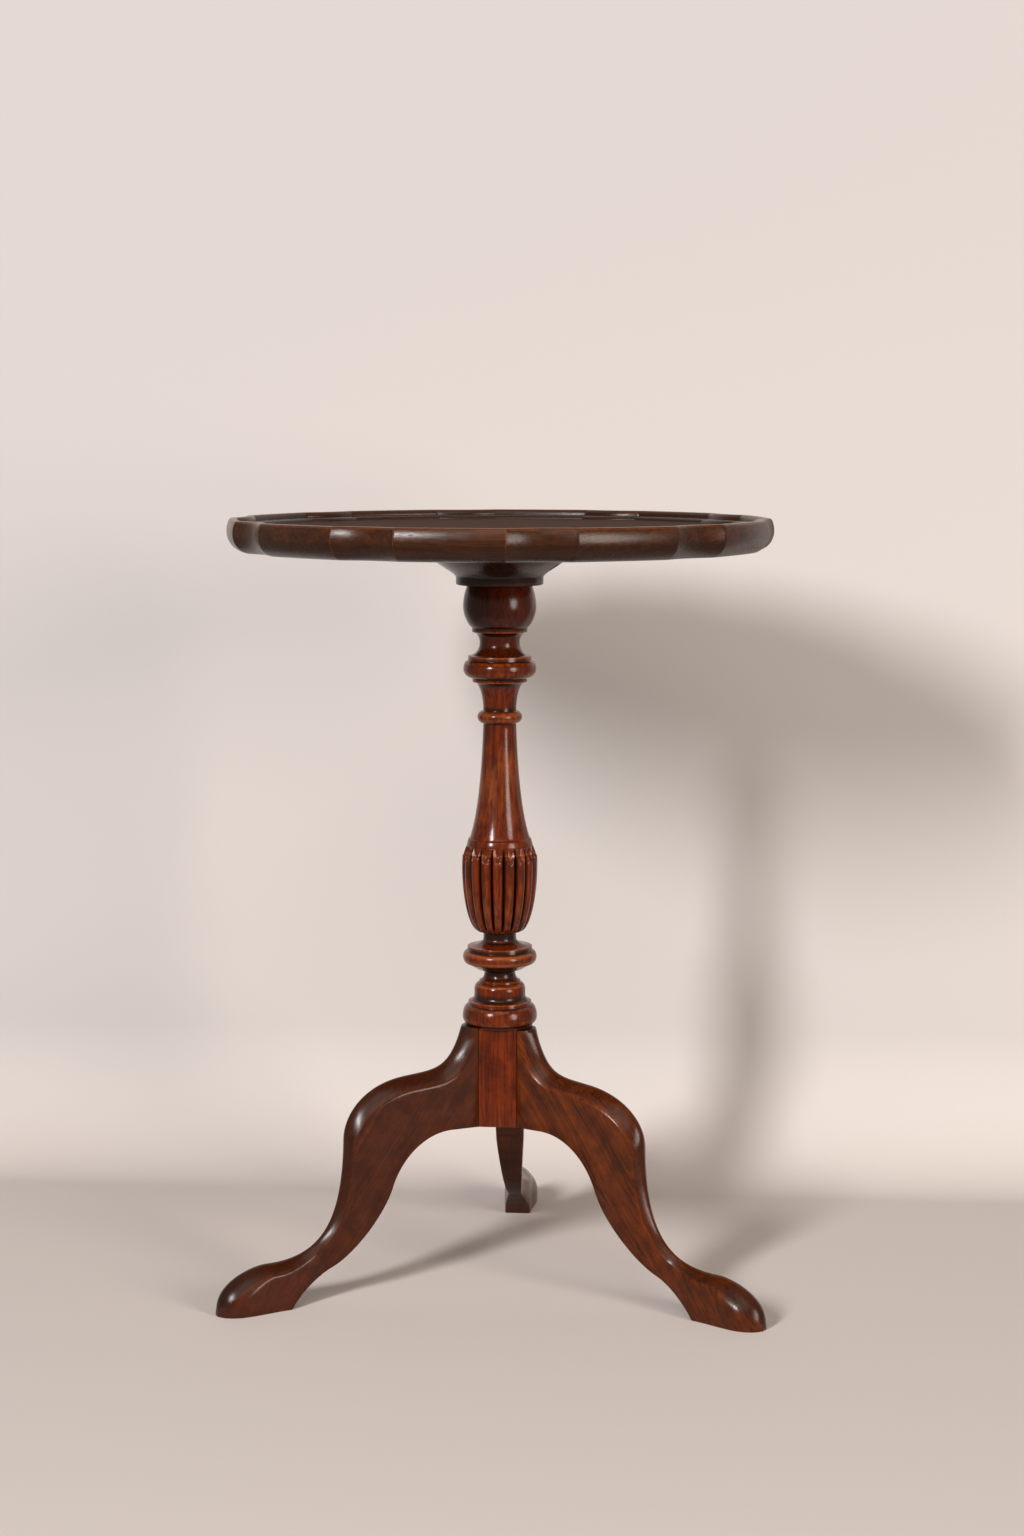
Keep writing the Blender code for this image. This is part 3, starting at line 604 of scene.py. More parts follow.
def prism(bm, plan, low, high, turn=0.0, top_plan=None):
    """Upright solid on a plan given from the axis outwards, turned about the axis."""
    place = Matrix.Translation(axis) @ Matrix.Rotation(math.radians(turn), 4, "Z")
    rings = []
    for outline, height in ((plan, low), (top_plan or plan, high)):
        rings.append([bm.verts.new(place @ Vector((px, py, height))) for px, py in outline])
    skin(bm, rings)


def oblong(near, far, half):
    """Plan of a straight cut from near to far, half its width to each side."""
    return ((near, -half), (far, -half), (far, half), (near, half))


def dovetail(spare, mouth):
    """Plan of a dovetail that reaches from mouth, outside the flat, in to its wide end."""
    slope = (key_width - key_neck) / key_depth
    wide, narrow = key_width + spare, key_neck + spare - slope * mouth
    inner = flat - key_depth - spare
    return ((inner, -wide), (flat + mouth, -narrow), (flat + mouth, narrow), (inner, wide))


def cut(piece, bm, operation="DIFFERENCE"):
    """Carry out one cut or join on a piece, with the tool built in a bmesh."""
    tool = add_object("tool", mesh_of("tool", bm))
    modifier = piece.modifiers.new("cut", "BOOLEAN")
    modifier.object = tool
    modifier.operation = operation
    worked = as_mesh(piece)
    piece.modifiers.remove(modifier)
    piece.data = worked
    bpy.data.objects.remove(tool, do_unlink=True)


block_face, reach, ledge = 0.0247, 0.010, 0.0008
seat_half, face_half = leg_half * 1.1, block_r * 0.7
for angle in leg_angles.values():
    for inner, half, turn in ((flat, seat_half, angle), (block_face, face_half, angle + 180.0)):
        tool = bmesh.new()
        prism(tool, oblong(inner, inner + reach, half), block_foot - reach, block_top + ledge, turn)
        cut(column, tool)
    tool = bmesh.new()
    prism(tool, dovetail(gap, gap), block_foot - reach, block_foot + key_height + gap, angle)
    cut(column, tool)
wedge_low, wedge_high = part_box("tenon_wedge")
tool = bmesh.new()
kerf_foot, kerf_top = 0.0009 + gap, 0.0018 + gap
across_tenon = 0.02
prism(
    tool, oblong(-across_tenon, across_tenon, kerf_foot), wedge_low.z - gap, wedge_high.z + gap,
    top_plan=oblong(-across_tenon, across_tenon, kerf_top),
)
cut(column, tool)
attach(column, "root")
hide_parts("column")


# Legs, three cabriole legs with slipper feet. Each is sawn from a mahogany plank with the grain running
# down from shoulder to foot, its back rounded with a spokeshave to a soft line along both flat sides,
# and let into the block by a dovetail from below. The inner faces keep their saw marks and old dirt.
toe_r, foot_length, heel_slope = 0.270, 0.065, 0.039
shoulder_round, knee_round, shin_round, heel_round, foot_round = 0.0145, 0.010, 0.007, 0.010, 0.85
grain_heading, end_bevel, key_root, weld = math.radians(-55.0), 0.0004, 0.004, 1e-6


def along(knots, index, t):
    """Point on the smooth curve between one knot and the next."""
    (start, heading, _, after), (end, arriving, before, _) = knots[index], knots[index + 1]
    start, end = Vector(start), Vector(end)
    chord = (end - start).length
    a, b = math.radians(heading), math.radians(arriving)
    leave = start + Vector((math.cos(a), math.sin(a))) * (after * chord)
    arrive = end - Vector((math.cos(b), math.sin(b))) * (before * chord)
    return bezier(start, leave, arrive, end, t)


def smooth(t):
    return t * t * (3.0 - 2.0 * t)


def leg_stations(top_lift, shoulder_lift, toe_more):
    """Sections down a leg: point on the back, point underneath, half thickness, rounding, crease 0 to 1."""
    arch_half, ankle_half, heel_half, foot_half, toe_tip = 0.0128, 0.0063, 0.01225, 0.016, 0.0035
    top_out, shoulder_out, shoulder_up = 0.0105, 0.069, 0.0478
    shin_r, instep_back, instep_up, toe_up = 0.151, 0.047, 0.0408, 0.004
    level_run, arch_r, arch_drop, ankle_up = 0.025, 0.110, 0.047, 0.0307
    pad_length, ankle_share, root_curve = 0.022, 0.7, 1.5
    root_steps, level_steps, arch_steps, shin_steps, heel_steps, foot_steps = 24, 10, 34, 34, 20, 30
    toe = toe_r + toe_more
    heel = toe - foot_length
    # A knot is its place, its heading and its handles before and after, as shares of the chord
    ridge = (
        ((leg_face + top_out, block_top + top_lift), -73.0, 0.0, 0.60),
        ((leg_face + shoulder_out, block_foot + shoulder_up + shoulder_lift), -7.6, 0.44, 0.52),
        ((shin_r + toe_more / 3, block_foot), -88.4, 0.26, 0.53),
        ((toe - instep_back, instep_up), 0.0, 0.44, 0.28),
        ((toe, toe_up), -93.0, 0.40, 0.0),
    )
    arch = (
        ((leg_face + level_run, block_foot), 0.0, 0.0, 0.37),
        ((arch_r, block_foot - arch_drop), -72.0, 0.36, 0.30),
        ((heel - heel_slope, ankle_up), -24.3, 0.26, 0.27),
        ((heel, 0.0), -58.0, 0.34, 0.0),
    )
    stations = []
    for step in range(root_steps + level_steps):
        t = step / (root_steps + level_steps)
        fall = block_top + top_lift - block_foot
        under = Vector((leg_face, block_foot + fall * (1.0 - min(1.0, step / root_steps) ** root_curve)))
        if step > root_steps:
            under = Vector((leg_face + level_run * (step - root_steps) / level_steps, block_foot))
        stations.append((along(ridge, 0, t), under, leg_half, shoulder_round, 1.0))
    for step in range(arch_steps):
        t = step / arch_steps
        half = leg_half + (arch_half - leg_half) * t
        rounding = shoulder_round + (knee_round - shoulder_round) * smooth(t)
        stations.append((along(ridge, 1, t), along(arch, 0, t), half, rounding, 1.0))
    for step in range(shin_steps):
        t = step / shin_steps
        half = arch_half + (ankle_half - arch_half) * t
        rounding = knee_round + (shin_round - knee_round) * smooth(t)
        stations.append((along(ridge, 2, ankle_share * t), along(arch, 1, t), half, rounding, 1.0))
    for step in range(heel_steps):
        t = step / heel_steps
        half = ankle_half + (heel_half - ankle_half) * smooth(t)
        back = along(ridge, 2, ankle_share + (1.0 - ankle_share) * t)
        rounding = shin_round + (heel_round - shin_round) * smooth(t)
        stations.append((back, along(arch, 2, t), half, rounding, 1.0))
    pad = pad_length / foot_length
    for step in range(foot_steps + 1):
        t = step / foot_steps
        sole = math.sin(math.radians(90.0) * t)
        swell = smooth(min(1.0, sole / (1.0 - pad)))
        nose = math.sqrt(1.0 - max(0.0, (sole - 1.0) / pad + 1.0) ** 2)
        half = max(toe_tip, (heel_half + (foot_half - heel_half) * swell) * nose)
        back, under = along(ridge, 3, t), Vector((heel + foot_length * sole, 0.0))
        rounding = heel_round + (foot_round * (back - under).length - heel_round) * smooth(t)
        stations.append((back, under, half, rounding, 1.0 - smooth(t)))
    return stations


def leg_section(depth, half, rounding, crease):
    """Right side of a section from the middle below to the ridge, as (side, up, hollow, ridge, sawn)."""
    most_ease, most_round, crease_run, crease_wear = 0.0009, 0.92, 0.0045, 0.4
    crown_start, crown_steps, crown_curve = 25.0, 12, 1.6
    crown_painted_shade, ridge_shade_easing, foot_dark = 0.46, 0.10, 0.15
    ease = min(most_ease, half / 3, depth / 6)
    rounding = min(rounding, most_round * depth - ease)
    points = [(0.0, 0.0, 0.12, 0.0, 1.0), (half * 0.5, 0.0, 0.1, 0.0, 1.0)]
    points += [(half - ease, 0.0, 0.05, 0.3, 1.0), (half - ease * 0.3, ease * 0.3, 0.0, 0.7, 0.4)]
    points.append((half, ease, 0.0, 0.5, 0.0))
    wall = depth - rounding - ease
    tip = 1.0 - crease
    side_dirt = 0.2 * tip
    points += [(half, ease + wall * share, side_dirt, 0.0, 0.0) for share in (0.25, 0.5, 0.75)]
    crown = []
    for step in range(crown_steps + 1):
        turn = math.radians(crown_start + (90.0 - crown_start) * step / crown_steps)
        fall = tip * (1.0 - math.sin(turn)) + crease * math.cos(turn) ** crown_curve
        # The crown is darkened with painted shade, most just past the crease and easing towards the ridge; on
        # the foot it is darker still with dirt.
        dark = crown_painted_shade * min(1.0, step / 3) - ridge_shade_easing * step / crown_steps + foot_dark * tip
        crown.append((half * math.cos(turn), depth - rounding * fall, dark, 0.0, 0.0))
    # The crease itself is rubbed a little round
    before = Vector((half, ease + max(wall - crease_run, wall * 0.8)))
    corner, after = Vector((half, ease + wall)), Vector(crown[0][:2])
    points.append((*before, side_dirt, 0.0, 0.0))
    for t in (0.2, 0.35, 0.5, 0.65, 0.8):
        points.append((*bezier(before, corner, corner, after, t), side_dirt, crease_wear * crease, 0.0))
    return points + crown


def leg_mesh(name, angle, *shape):
    """Leg drawn along +X and turned about the axis, with its marks and the coordinates of its grain."""
    joint_run, joint_reach, joint_dirt, worn_edge = 0.004, 0.0035, 0.4, 0.1
    plank_apart = Vector((0.31, 0.17, 0.23))
    bm = bmesh.new()
    layers = [bm.verts.layers.float.new(mark) for mark in ("hollow", "ridge", "sawn")]
    grain = bm.verts.layers.float_vector.new("grain")
    turn = Matrix.Translation(axis) @ Matrix.Rotation(math.radians(angle), 4, "Z")
    lay = Matrix.Rotation(grain_heading - math.radians(90.0), 3, "Y")
    plank = plank_apart * (angle / 90.0)
    rings = []
    for back, under, half, rounding, crease in leg_stations(*shape):
        low, high = Vector((under.x, 0.0, under.y)), Vector((back.x, 0.0, back.y))
        depth = (high - low).length
        upwards = (high - low) / depth
        right = leg_section(depth, half, rounding, crease)
        left = [(-side, *others) for side, *others in reversed(right[1:-1])]
        joint = max(0.0, 1.0 - (low.x - leg_face) / joint_run)
        ring = []
        for side, up, *marks in right + left:
            spot_here = low + upwards * up + Vector((0.0, side, 0.0))
            vert = bm.verts.new(turn @ spot_here)
            near_block = max(0.0, 1.0 - (spot_here.x - leg_face) / joint_reach) * joint
            marks[0] = max(marks[0], near_block * joint_dirt)
            for layer, value in zip(layers, marks):
                vert[layer] = value
            vert[grain] = lay @ spot_here + plank
            ring.append(vert)
        rings.append(ring)
    # The end grain at the top is dark, inside a worn edge
    middle = sum((vert.co for vert in rings[0]), Vector()) / len(rings[0])
    crown = []
    for vert in rings[0]:
        vert.co.z -= end_bevel
        top_vert = bm.verts.new(vert.co.lerp(middle, worn_edge) + Vector((0.0, 0.0, end_bevel)))
        top_vert[layers[0]] = 1.0
        top_vert[grain] = vert[grain]
        crown.append(top_vert)
    rings.insert(0, crown)
    skin(bm, rings)
    bmesh.ops.remove_doubles(bm, verts=bm.verts, dist=weld)
    return mesh_of(name, bm)


def plank_grain(tree):
    """Coordinates that each leg carries, with the grain of its plank along Z."""
    return node(tree, "ShaderNodeAttribute", attribute_name="grain").outputs["Vector"]


def leg_wood(name, light, dark, streaks, figure):
    """Leg polish over plank grain, with saw marks and dirt on the inner face."""
    grain = {"Light": (*light, 1.0), "Dark": (*dark, 1.0), "Streaks": streaks, "Figure": figure, "Pores": 0.7}
    finish = {"Darkening Amount": 0.9, "Wear And Highlight": 0.4, "Gloss": 0.21}
    return wood(name, plank_grain, grain, finish, sawn=1.0, shine=0.26)


def dress(piece, material):
    """Give a piece its one material."""
    piece.data.materials.clear()
    piece.data.materials.append(material)


# By hand no two legs come out alike: how much higher the top and the shoulder are, and how far the toe goes
leg_shapes = {
    "leg_back": (0.0, 0.0, -0.0002),
    "leg_left": (0.002, 0.0022, 0.0004),
    "leg_right": (0.0, -0.0025, 0.0040),
}
leg_planks = {
    # The back leg's colours are set lighter, partly as a painted reflection for the sheen on its foot.
    "leg_back": ("back_leg_mahogany", (0.16, 0.040, 0.014), (0.045, 0.012, 0.005), 0.4, 0.3),
    "leg_left": ("left_leg_mahogany", (0.14, 0.030, 0.008), (0.045, 0.009, 0.003), 0.5, 0.3),
    "leg_right": ("right_leg_mahogany", (0.27, 0.050, 0.006), (0.030, 0.006, 0.0015), 0.5, 0.5),
}
for name, angle in leg_angles.items():
    leg = piece_from(name.replace("leg_", "cabriole_leg_"), leg_mesh(name, angle, *leg_shapes[name]))
    tool = bmesh.new()
    key = [(px + gap, py) for px, py in dovetail(0.0, key_root)]
    prism(tool, key, block_foot, block_foot + key_height, angle)
    cut(leg, tool, "UNION")
    dress(leg, leg_wood(*leg_planks[name]))
    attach(leg, "root")
    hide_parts(name)


# Wedge in the head of the tenon: a slip of bare pale wood, driven in across the grain to spread the
# tenon in its hole. It is hidden by the top once the table is together, so the CAD solid is kept.
wedge_grain, tree, shader = new_material("wedge_wood")
inputs = {
    "Vector": own_place(tree), "Light": (0.52, 0.34, 0.17, 1.0), "Dark": (0.30, 0.17, 0.07, 1.0),
    "Streaks": 0.5, "Figure": 0.3, "Pores": 0.3,
}
figured = node(tree, "ShaderNodeGroup", inputs, node_tree=mahogany)
tree.links.new(figured.outputs["Color"], shader.inputs["Base Color"])
shader.inputs["Roughness"].default_value = 0.65
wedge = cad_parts["tenon_wedge"]
dress(wedge, wedge_grain)


# Collar between the ball and the top: a turned ring of mahogany gone nearly black, with a plain band
# below and a flare that spreads under the board. It drops over the tenon and is screwed up into the top.
collar_low, collar_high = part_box("top_collar")
collar_foot, collar_head = collar_low.z / MM, collar_high.z / MM
collar_band, collar_flare, collar_round, bore_dirt = 6.5, 18.8, 0.7, 0.8
collar_r, flare_r, bore_r = 38.5, 63.0, 12.8
lip_step, lip_rise, flare_steps, collar_sides = 1.2, 0.5, 16, 144
flare_leave, flare_spread, flare_arrive = 0.18, 0.55, 0.50
start = Vector((collar_r, collar_foot + collar_band))
end = Vector((flare_r, start.y + collar_flare))
leave = Vector((collar_r, start.y + flare_leave * collar_flare))
arrive = Vector((collar_r + flare_spread * (flare_r - collar_r), start.y + flare_arrive * collar_flare))
line = [Vector((bore_r, collar_foot)), Vector((collar_r - lip_step, collar_foot))]
line += [Vector((collar_r - lip_step, collar_foot + lip_rise)), Vector((collar_r, collar_foot + lip_rise))]
line.append(start)
line += [bezier(start, leave, arrive, end, step / flare_steps) for step in range(1, flare_steps + 1)]
line += [Vector((flare_r, collar_head)), Vector((bore_r, collar_head))]
line = soften(line, collar_round)
marks = [depth / hollow_depth for depth in recess(line, hollow_reach)]
marks[0] = marks[-1] = bore_dirt
line = [point * MM for point in line]


def all_round(count):
    """Angles of points set evenly round a circle."""
    return [2 * math.pi * i / count for i in range(count)]


collar = piece_from("collar", revolve("collar", line, marks, all_round(collar_sides), closed=True))
screw_circle, screw_sink, head_r, head_height = 0.050, 0.0195, 0.0042, 0.003
shank_r, screw_length, screw_sides = 0.0021, 0.022, 24
screw_angles = (12.0, 168.0, 192.0, -12.0)
head_z = collar_low.z + screw_sink
bores = (
    (head_r + gap, collar_low.z - screw_sink, head_z),
    (shank_r + gap, head_z - gap, collar_high.z + screw_length),
)
for angle in screw_angles:
    bearing = math.radians(angle)
    middle = Vector((screw_circle * math.cos(bearing), screw_circle * math.sin(bearing)))
    for radius, low, high in bores:
        tool = bmesh.new()
        bore = [middle + Vector((math.cos(a), math.sin(a))) * radius for a in all_round(screw_sides)]
        prism(tool, bore, low, high)
        cut(collar, tool)
collar_wood = wood(
    "collar_mahogany", upright_grain,
    {"Light": (0.12, 0.030, 0.012, 1.0), "Dark": (0.024, 0.007, 0.003, 1.0), "Streaks": 0.4, "Figure": 0.6,
     "Pores": 0.4},
    {"Darkening Amount": 0.9, "Wear And Highlight": 0.35, "Worn And Highlight": (0.22, 0.085, 0.035, 1.0), "Gloss": 0.17},
)
dress(collar, collar_wood)
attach(collar, "root")
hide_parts("top_collar")


# Screws through the collar: four flat-headed steel screws with a single slot, sunk in their holes on one
# circle and driven up into the board, their heads gone brown.
head_edge, turns_of_thread, thread_start, thread_pitch, thread_rise = 0.0004, 7, 0.004, 0.0017, 0.0006
thread_root, taper_r, tip_r, taper_length = shank_r * 0.86, shank_r * 0.8, shank_r * 0.2, 0.004
line = [Vector((head_r, 0.0)), Vector((head_r, head_edge)), Vector((shank_r, head_height))]
for turn in range(turns_of_thread):
    low = head_height + thread_start + turn * thread_pitch
    line += [Vector((thread_root, low)), Vector((shank_r, low + thread_rise))]
line += [Vector((taper_r, screw_length - taper_length)), Vector((tip_r, screw_length))]
master = piece_from("screw", revolve("screw", line, [0.0] * len(line), all_round(screw_sides)))
master.data.transform(Matrix.Translation(-axis))
tool = bmesh.new()
slot_half, slot_depth, slot_reach, slot_spare, slot_seed = 0.0005, 0.0012, 0.01, 0.001, 7
prism(tool, oblong(-slot_reach, slot_reach, slot_half), -slot_spare, slot_depth)
bmesh.ops.translate(tool, verts=tool.verts, vec=-axis)
cut(master, tool)
screw_sizes = {
    "Geometry": (GEOMETRY, None), "Material": (MATERIAL, None), "Circle": (FLOAT, 0.05),
    "Head Z": (FLOAT, 0.6), "Axis Y": (FLOAT, 0.0), "Seed": (WHOLE, slot_seed),
}
tree, first, last = new_tree("collar_screws", "GeometryNodeTree", screw_sizes, {"Geometry": GEOMETRY})
# Of the points 12 degrees apart round the circle, the four next to its two ends on X take a screw
circle_points = 30
half_round = circle_points / 2
circle = node(tree, "GeometryNodeMeshCircle", {"Vertices": circle_points, "Radius": first.outputs["Circle"]})
index = Number(tree, node(tree, "GeometryNodeInputIndex").outputs[0])
off_middle = abs(index.math("MODULO", half_round) - half_round / 2)
screwed = off_middle.math("COMPARE", half_round / 2 - 1.0, 0.1)
lift = node(tree, "ShaderNodeCombineXYZ", {1: first.outputs["Axis Y"], 2: first.outputs["Head Z"]})
circle = node(tree, "GeometryNodeSetPosition", {"Geometry": circle.outputs[0], "Offset": lift.outputs[0]})
inputs = {"Min": (0.0, 0.0, 0.0), "Max": (0.0, 0.0, math.pi), "Seed": first.outputs["Seed"]}
driven = node(tree, "FunctionNodeRandomValue", inputs, data_type="FLOAT_VECTOR")
inputs = {
    "Points": circle.outputs[0], "Selection": screwed, "Instance": first.outputs["Geometry"],
    "Rotation": driven.outputs[0],
}
screws_set = node(tree, "GeometryNodeInstanceOnPoints", inputs)
close_tree(tree, screws_set.outputs[0], first, last)
screw_steel, steel_tree, shader = new_material("screw_steel")
grey_steel, brown_rust = (0.20, 0.17, 0.15, 1.0), (0.055, 0.026, 0.014, 1.0)
rusted = noise(steel_tree, own_place(steel_tree), (900.0, 900.0, 900.0), 4.0).ramp(0.45, 0.62)
tint = mix(steel_tree, rusted, grey_steel, brown_rust)
steel_tree.links.new(tint, shader.inputs["Base Color"])
steel_tree.links.new((0.9 - rusted * 0.6).socket, shader.inputs["Metallic"])
steel_tree.links.new((rusted * 0.3 + 0.38).socket, shader.inputs["Roughness"])
values = {
    "Material": screw_steel, "Circle": screw_circle, "Head Z": head_z, "Axis Y": axis.y, "Seed": slot_seed,
}
screws = piece_from("collar_screws", grow(master, tree, values))
bpy.data.objects.remove(master, do_unlink=True)
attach(screws, "root")
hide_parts("collar_screw_1", "collar_screw_2", "collar_screw_3", "collar_screw_4")


# Top: one board of mahogany, dished in the lathe so that the rim stands proud, then carved to a piecrust
# of ten hollows and ten long bows, with an ovolo below and a bead, fillet and cove inside.
top_low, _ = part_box("table_top")
top_r, thickness = 0.240, 28.0
scallops, hollow_span, hollow_cut, bow_swell, rim_turn, rim_steps = 10, 14.0, 0.0050, 0.0025, -77.0, 1080

# Section of the board in millimetres, as inset from the edge and rise, from the middle of its underside
# out to the edge, up the ovolo, over the leaning rim and down its mouldings to the field
level_in, ovolo_in, ovolo_rise, ovolo_steps = 30.0, 16.2, 17.0, 12
leaning_rim = (
    (0.1, 19.3), (0.4, 21.5), (0.9, 23.6), (1.6, 25.6),
    (2.0, 26.5), (2.6, 27.3), (3.4, 27.8), (4.4, thickness),
)
bead_start, bead_end, bead_fall, fillet_end = 7.3, 10.8, 5.0, 14.3
cove_end, cove_fall, inner_steps = 18.8, 3.5, 7
fillet_z, field_z = thickness - bead_fall, thickness - bead_fall - cove_fall
section = [Vector((top_r / MM, 0.0)), Vector((level_in, 0.0)), Vector((ovolo_in, 0.0))]
section += run("swell", section[-1], 0.0, ovolo_rise, ovolo_steps)
section += [Vector(point) for point in leaning_rim]
section.append(Vector((bead_start, thickness)))
section += run("swell", section[-1], bead_end, -bead_fall, inner_steps)
section.append(Vector((fillet_end, fillet_z)))
section += run("swell", section[-1], cove_end, -cove_fall, inner_steps)
section += [Vector((cove_end + step, field_z)) for step in (1.0, 4.0, 20.0, 60.0, 120.0)]
section.append(Vector((top_r / MM, field_z)))
rim_round, rim_reach, rim_depth = 0.35, 3.5, 0.6
section = soften(section, rim_round)
# The recess of an outline is told from a line that climbs with the wood on its left, so the insets are
# turned round
marks = [depth / rim_depth for depth in recess([Vector((-p.x, p.y)) for p in section], rim_reach)]
strip = bpy.data.meshes.new("rim_section")
edges = [(i, i + 1) for i in range(len(section) - 1)]
strip.from_pydata([(p.x * MM, 0.0, p.y * MM) for p in section], edges, [])
strip.attributes.new("recess", "FLOAT", "POINT").data.foreach_set("value", marks)
knife = add_object("rim_section", strip)

rim_sizes = {
    "Geometry": (GEOMETRY, None), "Material": (MATERIAL, None), "Radius": (FLOAT, 0.24),
    "Scallops": (FLOAT, 10.0), "Hollow Span": (FLOAT, 0.24), "Hollow Depth": (FLOAT, 0.0044),
    "Bow": (FLOAT, 0.0012), "Turn": (FLOAT, 0.0), "Axis Y": (FLOAT, 0.0), "Foot Z": (FLOAT, 0.65),
    "Steps": (WHOLE, rim_steps), "Points": (WHOLE, 60),
}
rim_tree, first, last = new_tree("piecrust", "GeometryNodeTree", rim_sizes, {"Geometry": GEOMETRY})
size = sizes_in(rim_tree, first, rim_sizes)
inputs = {"Vertices X": size["Steps"] + 1.0, "Vertices Y": size["Points"]}
sheet = node(rim_tree, "GeometryNodeMeshGrid", inputs)
index = Number(rim_tree, node(rim_tree, "GeometryNodeInputIndex").outputs[0])
row = (index / size["Points"]).math("FLOOR")
on_section = index - row * size["Points"]
place = node(rim_tree, "GeometryNodeInputPosition")


def from_section(value, kind):
    """Value of the section's point that this vertex of the sheet stands for."""
    inputs = {"Geometry": first.outputs["Geometry"], "Value": value, "Index": on_section}
    return node(rim_tree, "GeometryNodeSampleIndex", inputs, data_type=kind, domain="POINT").outputs[0]


split = node(rim_tree, "ShaderNodeSeparateXYZ", {0: from_section(place.outputs[0], "FLOAT_VECTOR")})
inset, rise = Number(rim_tree, split.outputs["X"]), Number(rim_tree, split.outputs["Z"])
behind = Number(rim_tree, from_section(named(rim_tree, "recess"), "FLOAT"))
pitch = 2 * math.pi / size["Scallops"]
round_rim = row / size["Steps"] * (2 * math.pi)
from_hollow = abs(((round_rim / pitch + 0.5).math("FRACT") - 0.5) * pitch)
half_hollow = size["Hollow Span"] / 2.0
half_bow = pitch / 2.0 - half_hollow
in_hollow = from_hollow.math("LESS_THAN", half_hollow)
half_here = half_bow + (half_hollow - half_bow) * in_hollow
off_here = (pitch / 2.0 - from_hollow) + (from_hollow * 2.0 - pitch / 2.0) * in_hollow
chord = size["Radius"] * half_here.math("COSINE") / off_here.math("COSINE")
bulge = size["Bow"] - (size["Bow"] + size["Hollow Depth"]) * in_hollow
plan = chord + bulge * (1.0 - (off_here / half_here) ** 2.0)
near_rim = (1.0 - inset / size["Radius"]).ramp(0.55, 0.85)
radius = (size["Radius"] - inset) + (plan - size["Radius"]) * near_rim
bearing = round_rim + size["Turn"]
inputs = {
    0: radius * bearing.math("COSINE"), 1: radius * bearing.math("SINE") + size["Axis Y"],
    2: rise + size["Foot Z"],
}
spread = node(rim_tree, "ShaderNodeCombineXYZ", inputs)
inputs = {"Geometry": sheet.outputs["Mesh"], "Position": spread.outputs[0]}
swept = node(rim_tree, "GeometryNodeSetPosition", inputs)
# Painted shade darkens the rim below the ovolo and the hollows' faces beside each edge between hollow and
# bow; the rim is also darker inside, less on the field, and dirt lies in the section's own hollows. Those
# edges and the rim's crest are lighter, partly wear and partly painted highlight.
under_painted_shade, inner_dark, field_less, beside_painted_shade = 0.44, 0.6, 0.35, 0.6
upper_part, rim_face, beside_width, arris_width = 0.010, 0.006, 0.024, 0.007
below = (rise * -1.0).ramp(-0.0185, -0.012) * under_painted_shade
on_top = rise.math("GREATER_THAN", upper_part)
field = inset.ramp(0.017, 0.024)
inside = inset.ramp(rim_face, 0.011) * on_top * (inner_dark - field * field_less)
off_arris = abs(from_hollow - half_hollow)
beside = (1.0 - off_arris / beside_width).high(0.0) * in_hollow * beside_painted_shade
arris = (1.0 - off_arris / arris_width).high(0.0)
edge = 1.0 - inset.math("GREATER_THAN", rim_face) * on_top
rim_dirt_and_shade = behind.high(below).high(inside).high(beside * edge)
marked = store(rim_tree, swept.outputs[0], "hollow", rim_dirt_and_shade.high(0.0).low(1.0))
marked = store(rim_tree, marked, "ridge", (behind * -1.0).high(arris * edge).low(1.0))
marked = store(rim_tree, marked, "sawn", field * on_top)
welded = node(rim_tree, "GeometryNodeMergeByDistance", {"Geometry": marked, "Distance": weld})
close_tree(rim_tree, welded.outputs[0], first, last)


def board_grain(tree):
    """Grain along X of the board."""
    inputs = {"Vector": own_place(tree), "Rotation": (0.0, math.radians(90.0), 0.0)}
    return node(tree, "ShaderNodeMapping", inputs).outputs[0]


top_wood = wood(
    "top_mahogany", board_grain,
    {"Light": (0.12, 0.034, 0.009, 1.0), "Dark": (0.022, 0.007, 0.003, 1.0), "Streaks": 0.6, "Figure": 0.4,
     "Pores": 0.6},
    {"Darkening Amount": 0.75, "Wear And Highlight": 0.22, "Gloss": 0.24}, bump=0.25, sawn=0.1, dull=0.7, shine=0.28,
)
values = {
    "Material": top_wood, "Radius": top_r, "Scallops": float(scallops),
    "Hollow Span": math.radians(hollow_span), "Hollow Depth": hollow_cut, "Bow": bow_swell,
    "Turn": math.radians(rim_turn), "Axis Y": axis.y, "Foot Z": top_low.z, "Steps": rim_steps,
    "Points": len(section),
}
board = grow(knife, rim_tree, values)
bpy.data.objects.remove(knife, do_unlink=True)
bm = bmesh.new()
bm.from_mesh(board)
bmesh.ops.recalc_face_normals(bm, faces=bm.faces)
bm.to_mesh(board)
bm.free()
top = piece_from("piecrust_top", board)
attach(top, "root")
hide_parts("table_top")


# Studio: a pale paper sweep for floor and backdrop, clear from behind, with a tall oval lamp at the left,
# a broad one at the right, a weak round one high in front, and a plain grey surround.
def seen_rays(tree):
    """1 for the rays that show the studio itself, to the camera or in the polish."""
    ray = node(tree, "ShaderNodeLightPath")
    seen = Number(tree, ray.outputs["Is Camera Ray"]).high(ray.outputs["Is Glossy Ray"])
    return seen.high(ray.outputs["Is Transmission Ray"])


paper, tree, shader = new_material("studio_paper")
floor_seen, floor_cast = (0.89, 0.81, 0.775, 1.0), (0.10, 0.09, 0.085, 1.0)
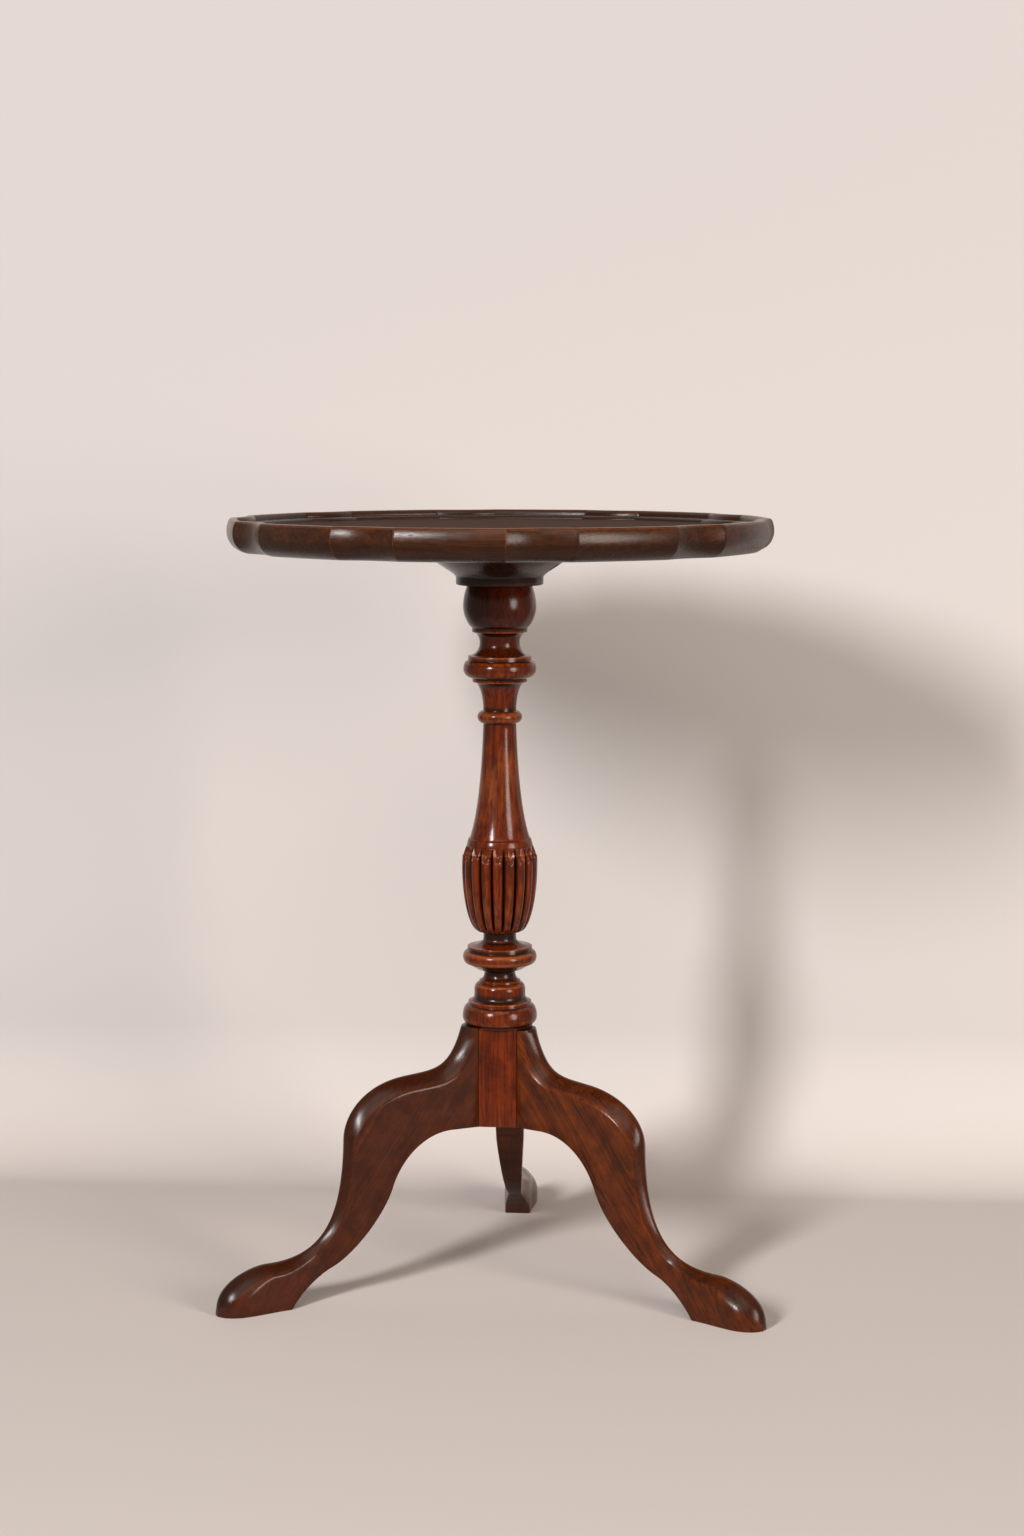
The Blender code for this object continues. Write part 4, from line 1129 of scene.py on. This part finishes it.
# The backdrop's seen colour darkens up the wall, a painted shade for light that falls off with height.
low_wall_seen, high_wall_painted_shade = (0.875, 0.812, 0.79, 1.0), (0.76, 0.712, 0.705, 1.0)
wall_cast = (0.36, 0.33, 0.31, 1.0)
above_floor = Number(tree, node(tree, "ShaderNodeSeparateXYZ", {0: own_place(tree)}).outputs["Z"])
wall_shade = mix(tree, above_floor.ramp(0.3, 1.2), low_wall_seen, high_wall_painted_shade)
seen_shade = mix(tree, above_floor.ramp(0.0, 0.12), floor_seen, wall_shade)
cast_shade = mix(tree, above_floor.ramp(0.0, 0.14), floor_cast, wall_cast)
shade = mix(tree, seen_rays(tree), cast_shade, seen_shade)
tree.links.new(shade, shader.inputs["Base Color"])
shader.inputs["Roughness"].default_value = 0.9
shader.inputs["Specular IOR Level"].default_value = 0.1
clear = node(tree, "ShaderNodeBsdfTransparent")
back = node(tree, "ShaderNodeNewGeometry")
inputs = {0: back.outputs["Backfacing"], 1: shader.outputs[0], 2: clear.outputs[0]}
shown = node(tree, "ShaderNodeMixShader", inputs)
tree.links.new(shown.outputs[0], tree.nodes["Material Output"].inputs["Surface"])
wall_y, bend, wall_top, half_width, front, bend_steps = 0.40, 0.14, 1.6, 0.75, -0.66, 24
sweep_line = [(front, 0.0), (wall_y - bend, 0.0)]
for step in range(1, bend_steps + 1):
    turn = math.radians(90.0) * step / bend_steps
    sweep_line.append((wall_y - bend + bend * math.sin(turn), bend - bend * math.cos(turn)))
sweep_line.append((wall_y, wall_top))
verts = [(side, sy, sz) for sy, sz in sweep_line for side in (-half_width, half_width)]
faces = [(2 * i, 2 * i + 1, 2 * i + 3, 2 * i + 2) for i in range(len(sweep_line) - 1)]
sweep_mesh = bpy.data.meshes.new("paper_sweep")
sweep_mesh.from_pydata(verts, [], faces)
sweep_mesh.shade_smooth()
sweep_mesh.materials.append(paper)
sweep = add_object("paper_sweep", sweep_mesh)

aim_height = 0.36
aim = axis + Vector((0.0, 0.0, aim_height))


def lamp(name, azimuth, elevation, distance, width, height, power, colour):
    """Soft area lamp set by its bearing from the table, 0 in front and positive to the right."""
    light = bpy.data.lights.new(name, "AREA")
    light.shape = "ELLIPSE"
    light.size, light.size_y = width, height
    light.energy = power
    light.color = colour
    lit = add_object(name, light)
    a, e = math.radians(azimuth), math.radians(elevation)
    toward = Vector((math.sin(a) * math.cos(e), -math.cos(a) * math.cos(e), math.sin(e)))
    lit.location = aim + toward * distance
    lit.rotation_euler = toward.to_track_quat("Z", "Y").to_euler()


lamp("key", -28.5, 25.5, 5.1, 0.71, 1.43, 168.0, (1.0, 0.985, 0.97))
lamp("side", 50.0, 12.0, 4.4, 1.5, 2.5, 100.0, (1.0, 0.92, 0.83))
lamp("overhead", 5.0, 46.0, 4.1, 2.72, 2.72, 26.0, (1.0, 0.89, 0.78))
world = bpy.data.worlds.new("studio")
world.use_nodes = True
tree = world.node_tree
surround = tree.nodes["Background"]
cast_tint, cast_strength, seen_grey = (1.0, 0.96, 0.92, 1.0), 0.05, (0.34, 0.31, 0.29, 1.0)
surround.inputs["Color"].default_value = cast_tint
surround.inputs["Strength"].default_value = cast_strength
pale = node(tree, "ShaderNodeBackground", {"Color": seen_grey, "Strength": 1.0})
seen = node(tree, "ShaderNodeMixShader", {0: seen_rays(tree), 1: surround.outputs[0], 2: pale.outputs[0]})
tree.links.new(seen.outputs[0], tree.nodes["World Output"].inputs["Surface"])
bpy.context.scene.world = world
bpy.context.scene.view_settings.view_transform = "Standard"


# Camera at the photograph's place, a little above the board and turned off the front
camera_data = bpy.data.cameras.new("camera")
camera_data.sensor_width = 36.0
camera_data.lens = 66.45
camera = add_object("camera", camera_data)
view_turn, view_distance, view_height = math.radians(4.86), 2.4912, 0.7714
look_down, look_across = 7.05, 4.61
off_axis = Vector((math.sin(view_turn) * view_distance, -math.cos(view_turn) * view_distance, view_height))
camera.location = axis + off_axis
camera.rotation_euler = (math.radians(90.0 - look_down), 0.0, math.radians(look_across))
bpy.context.scene.camera = camera
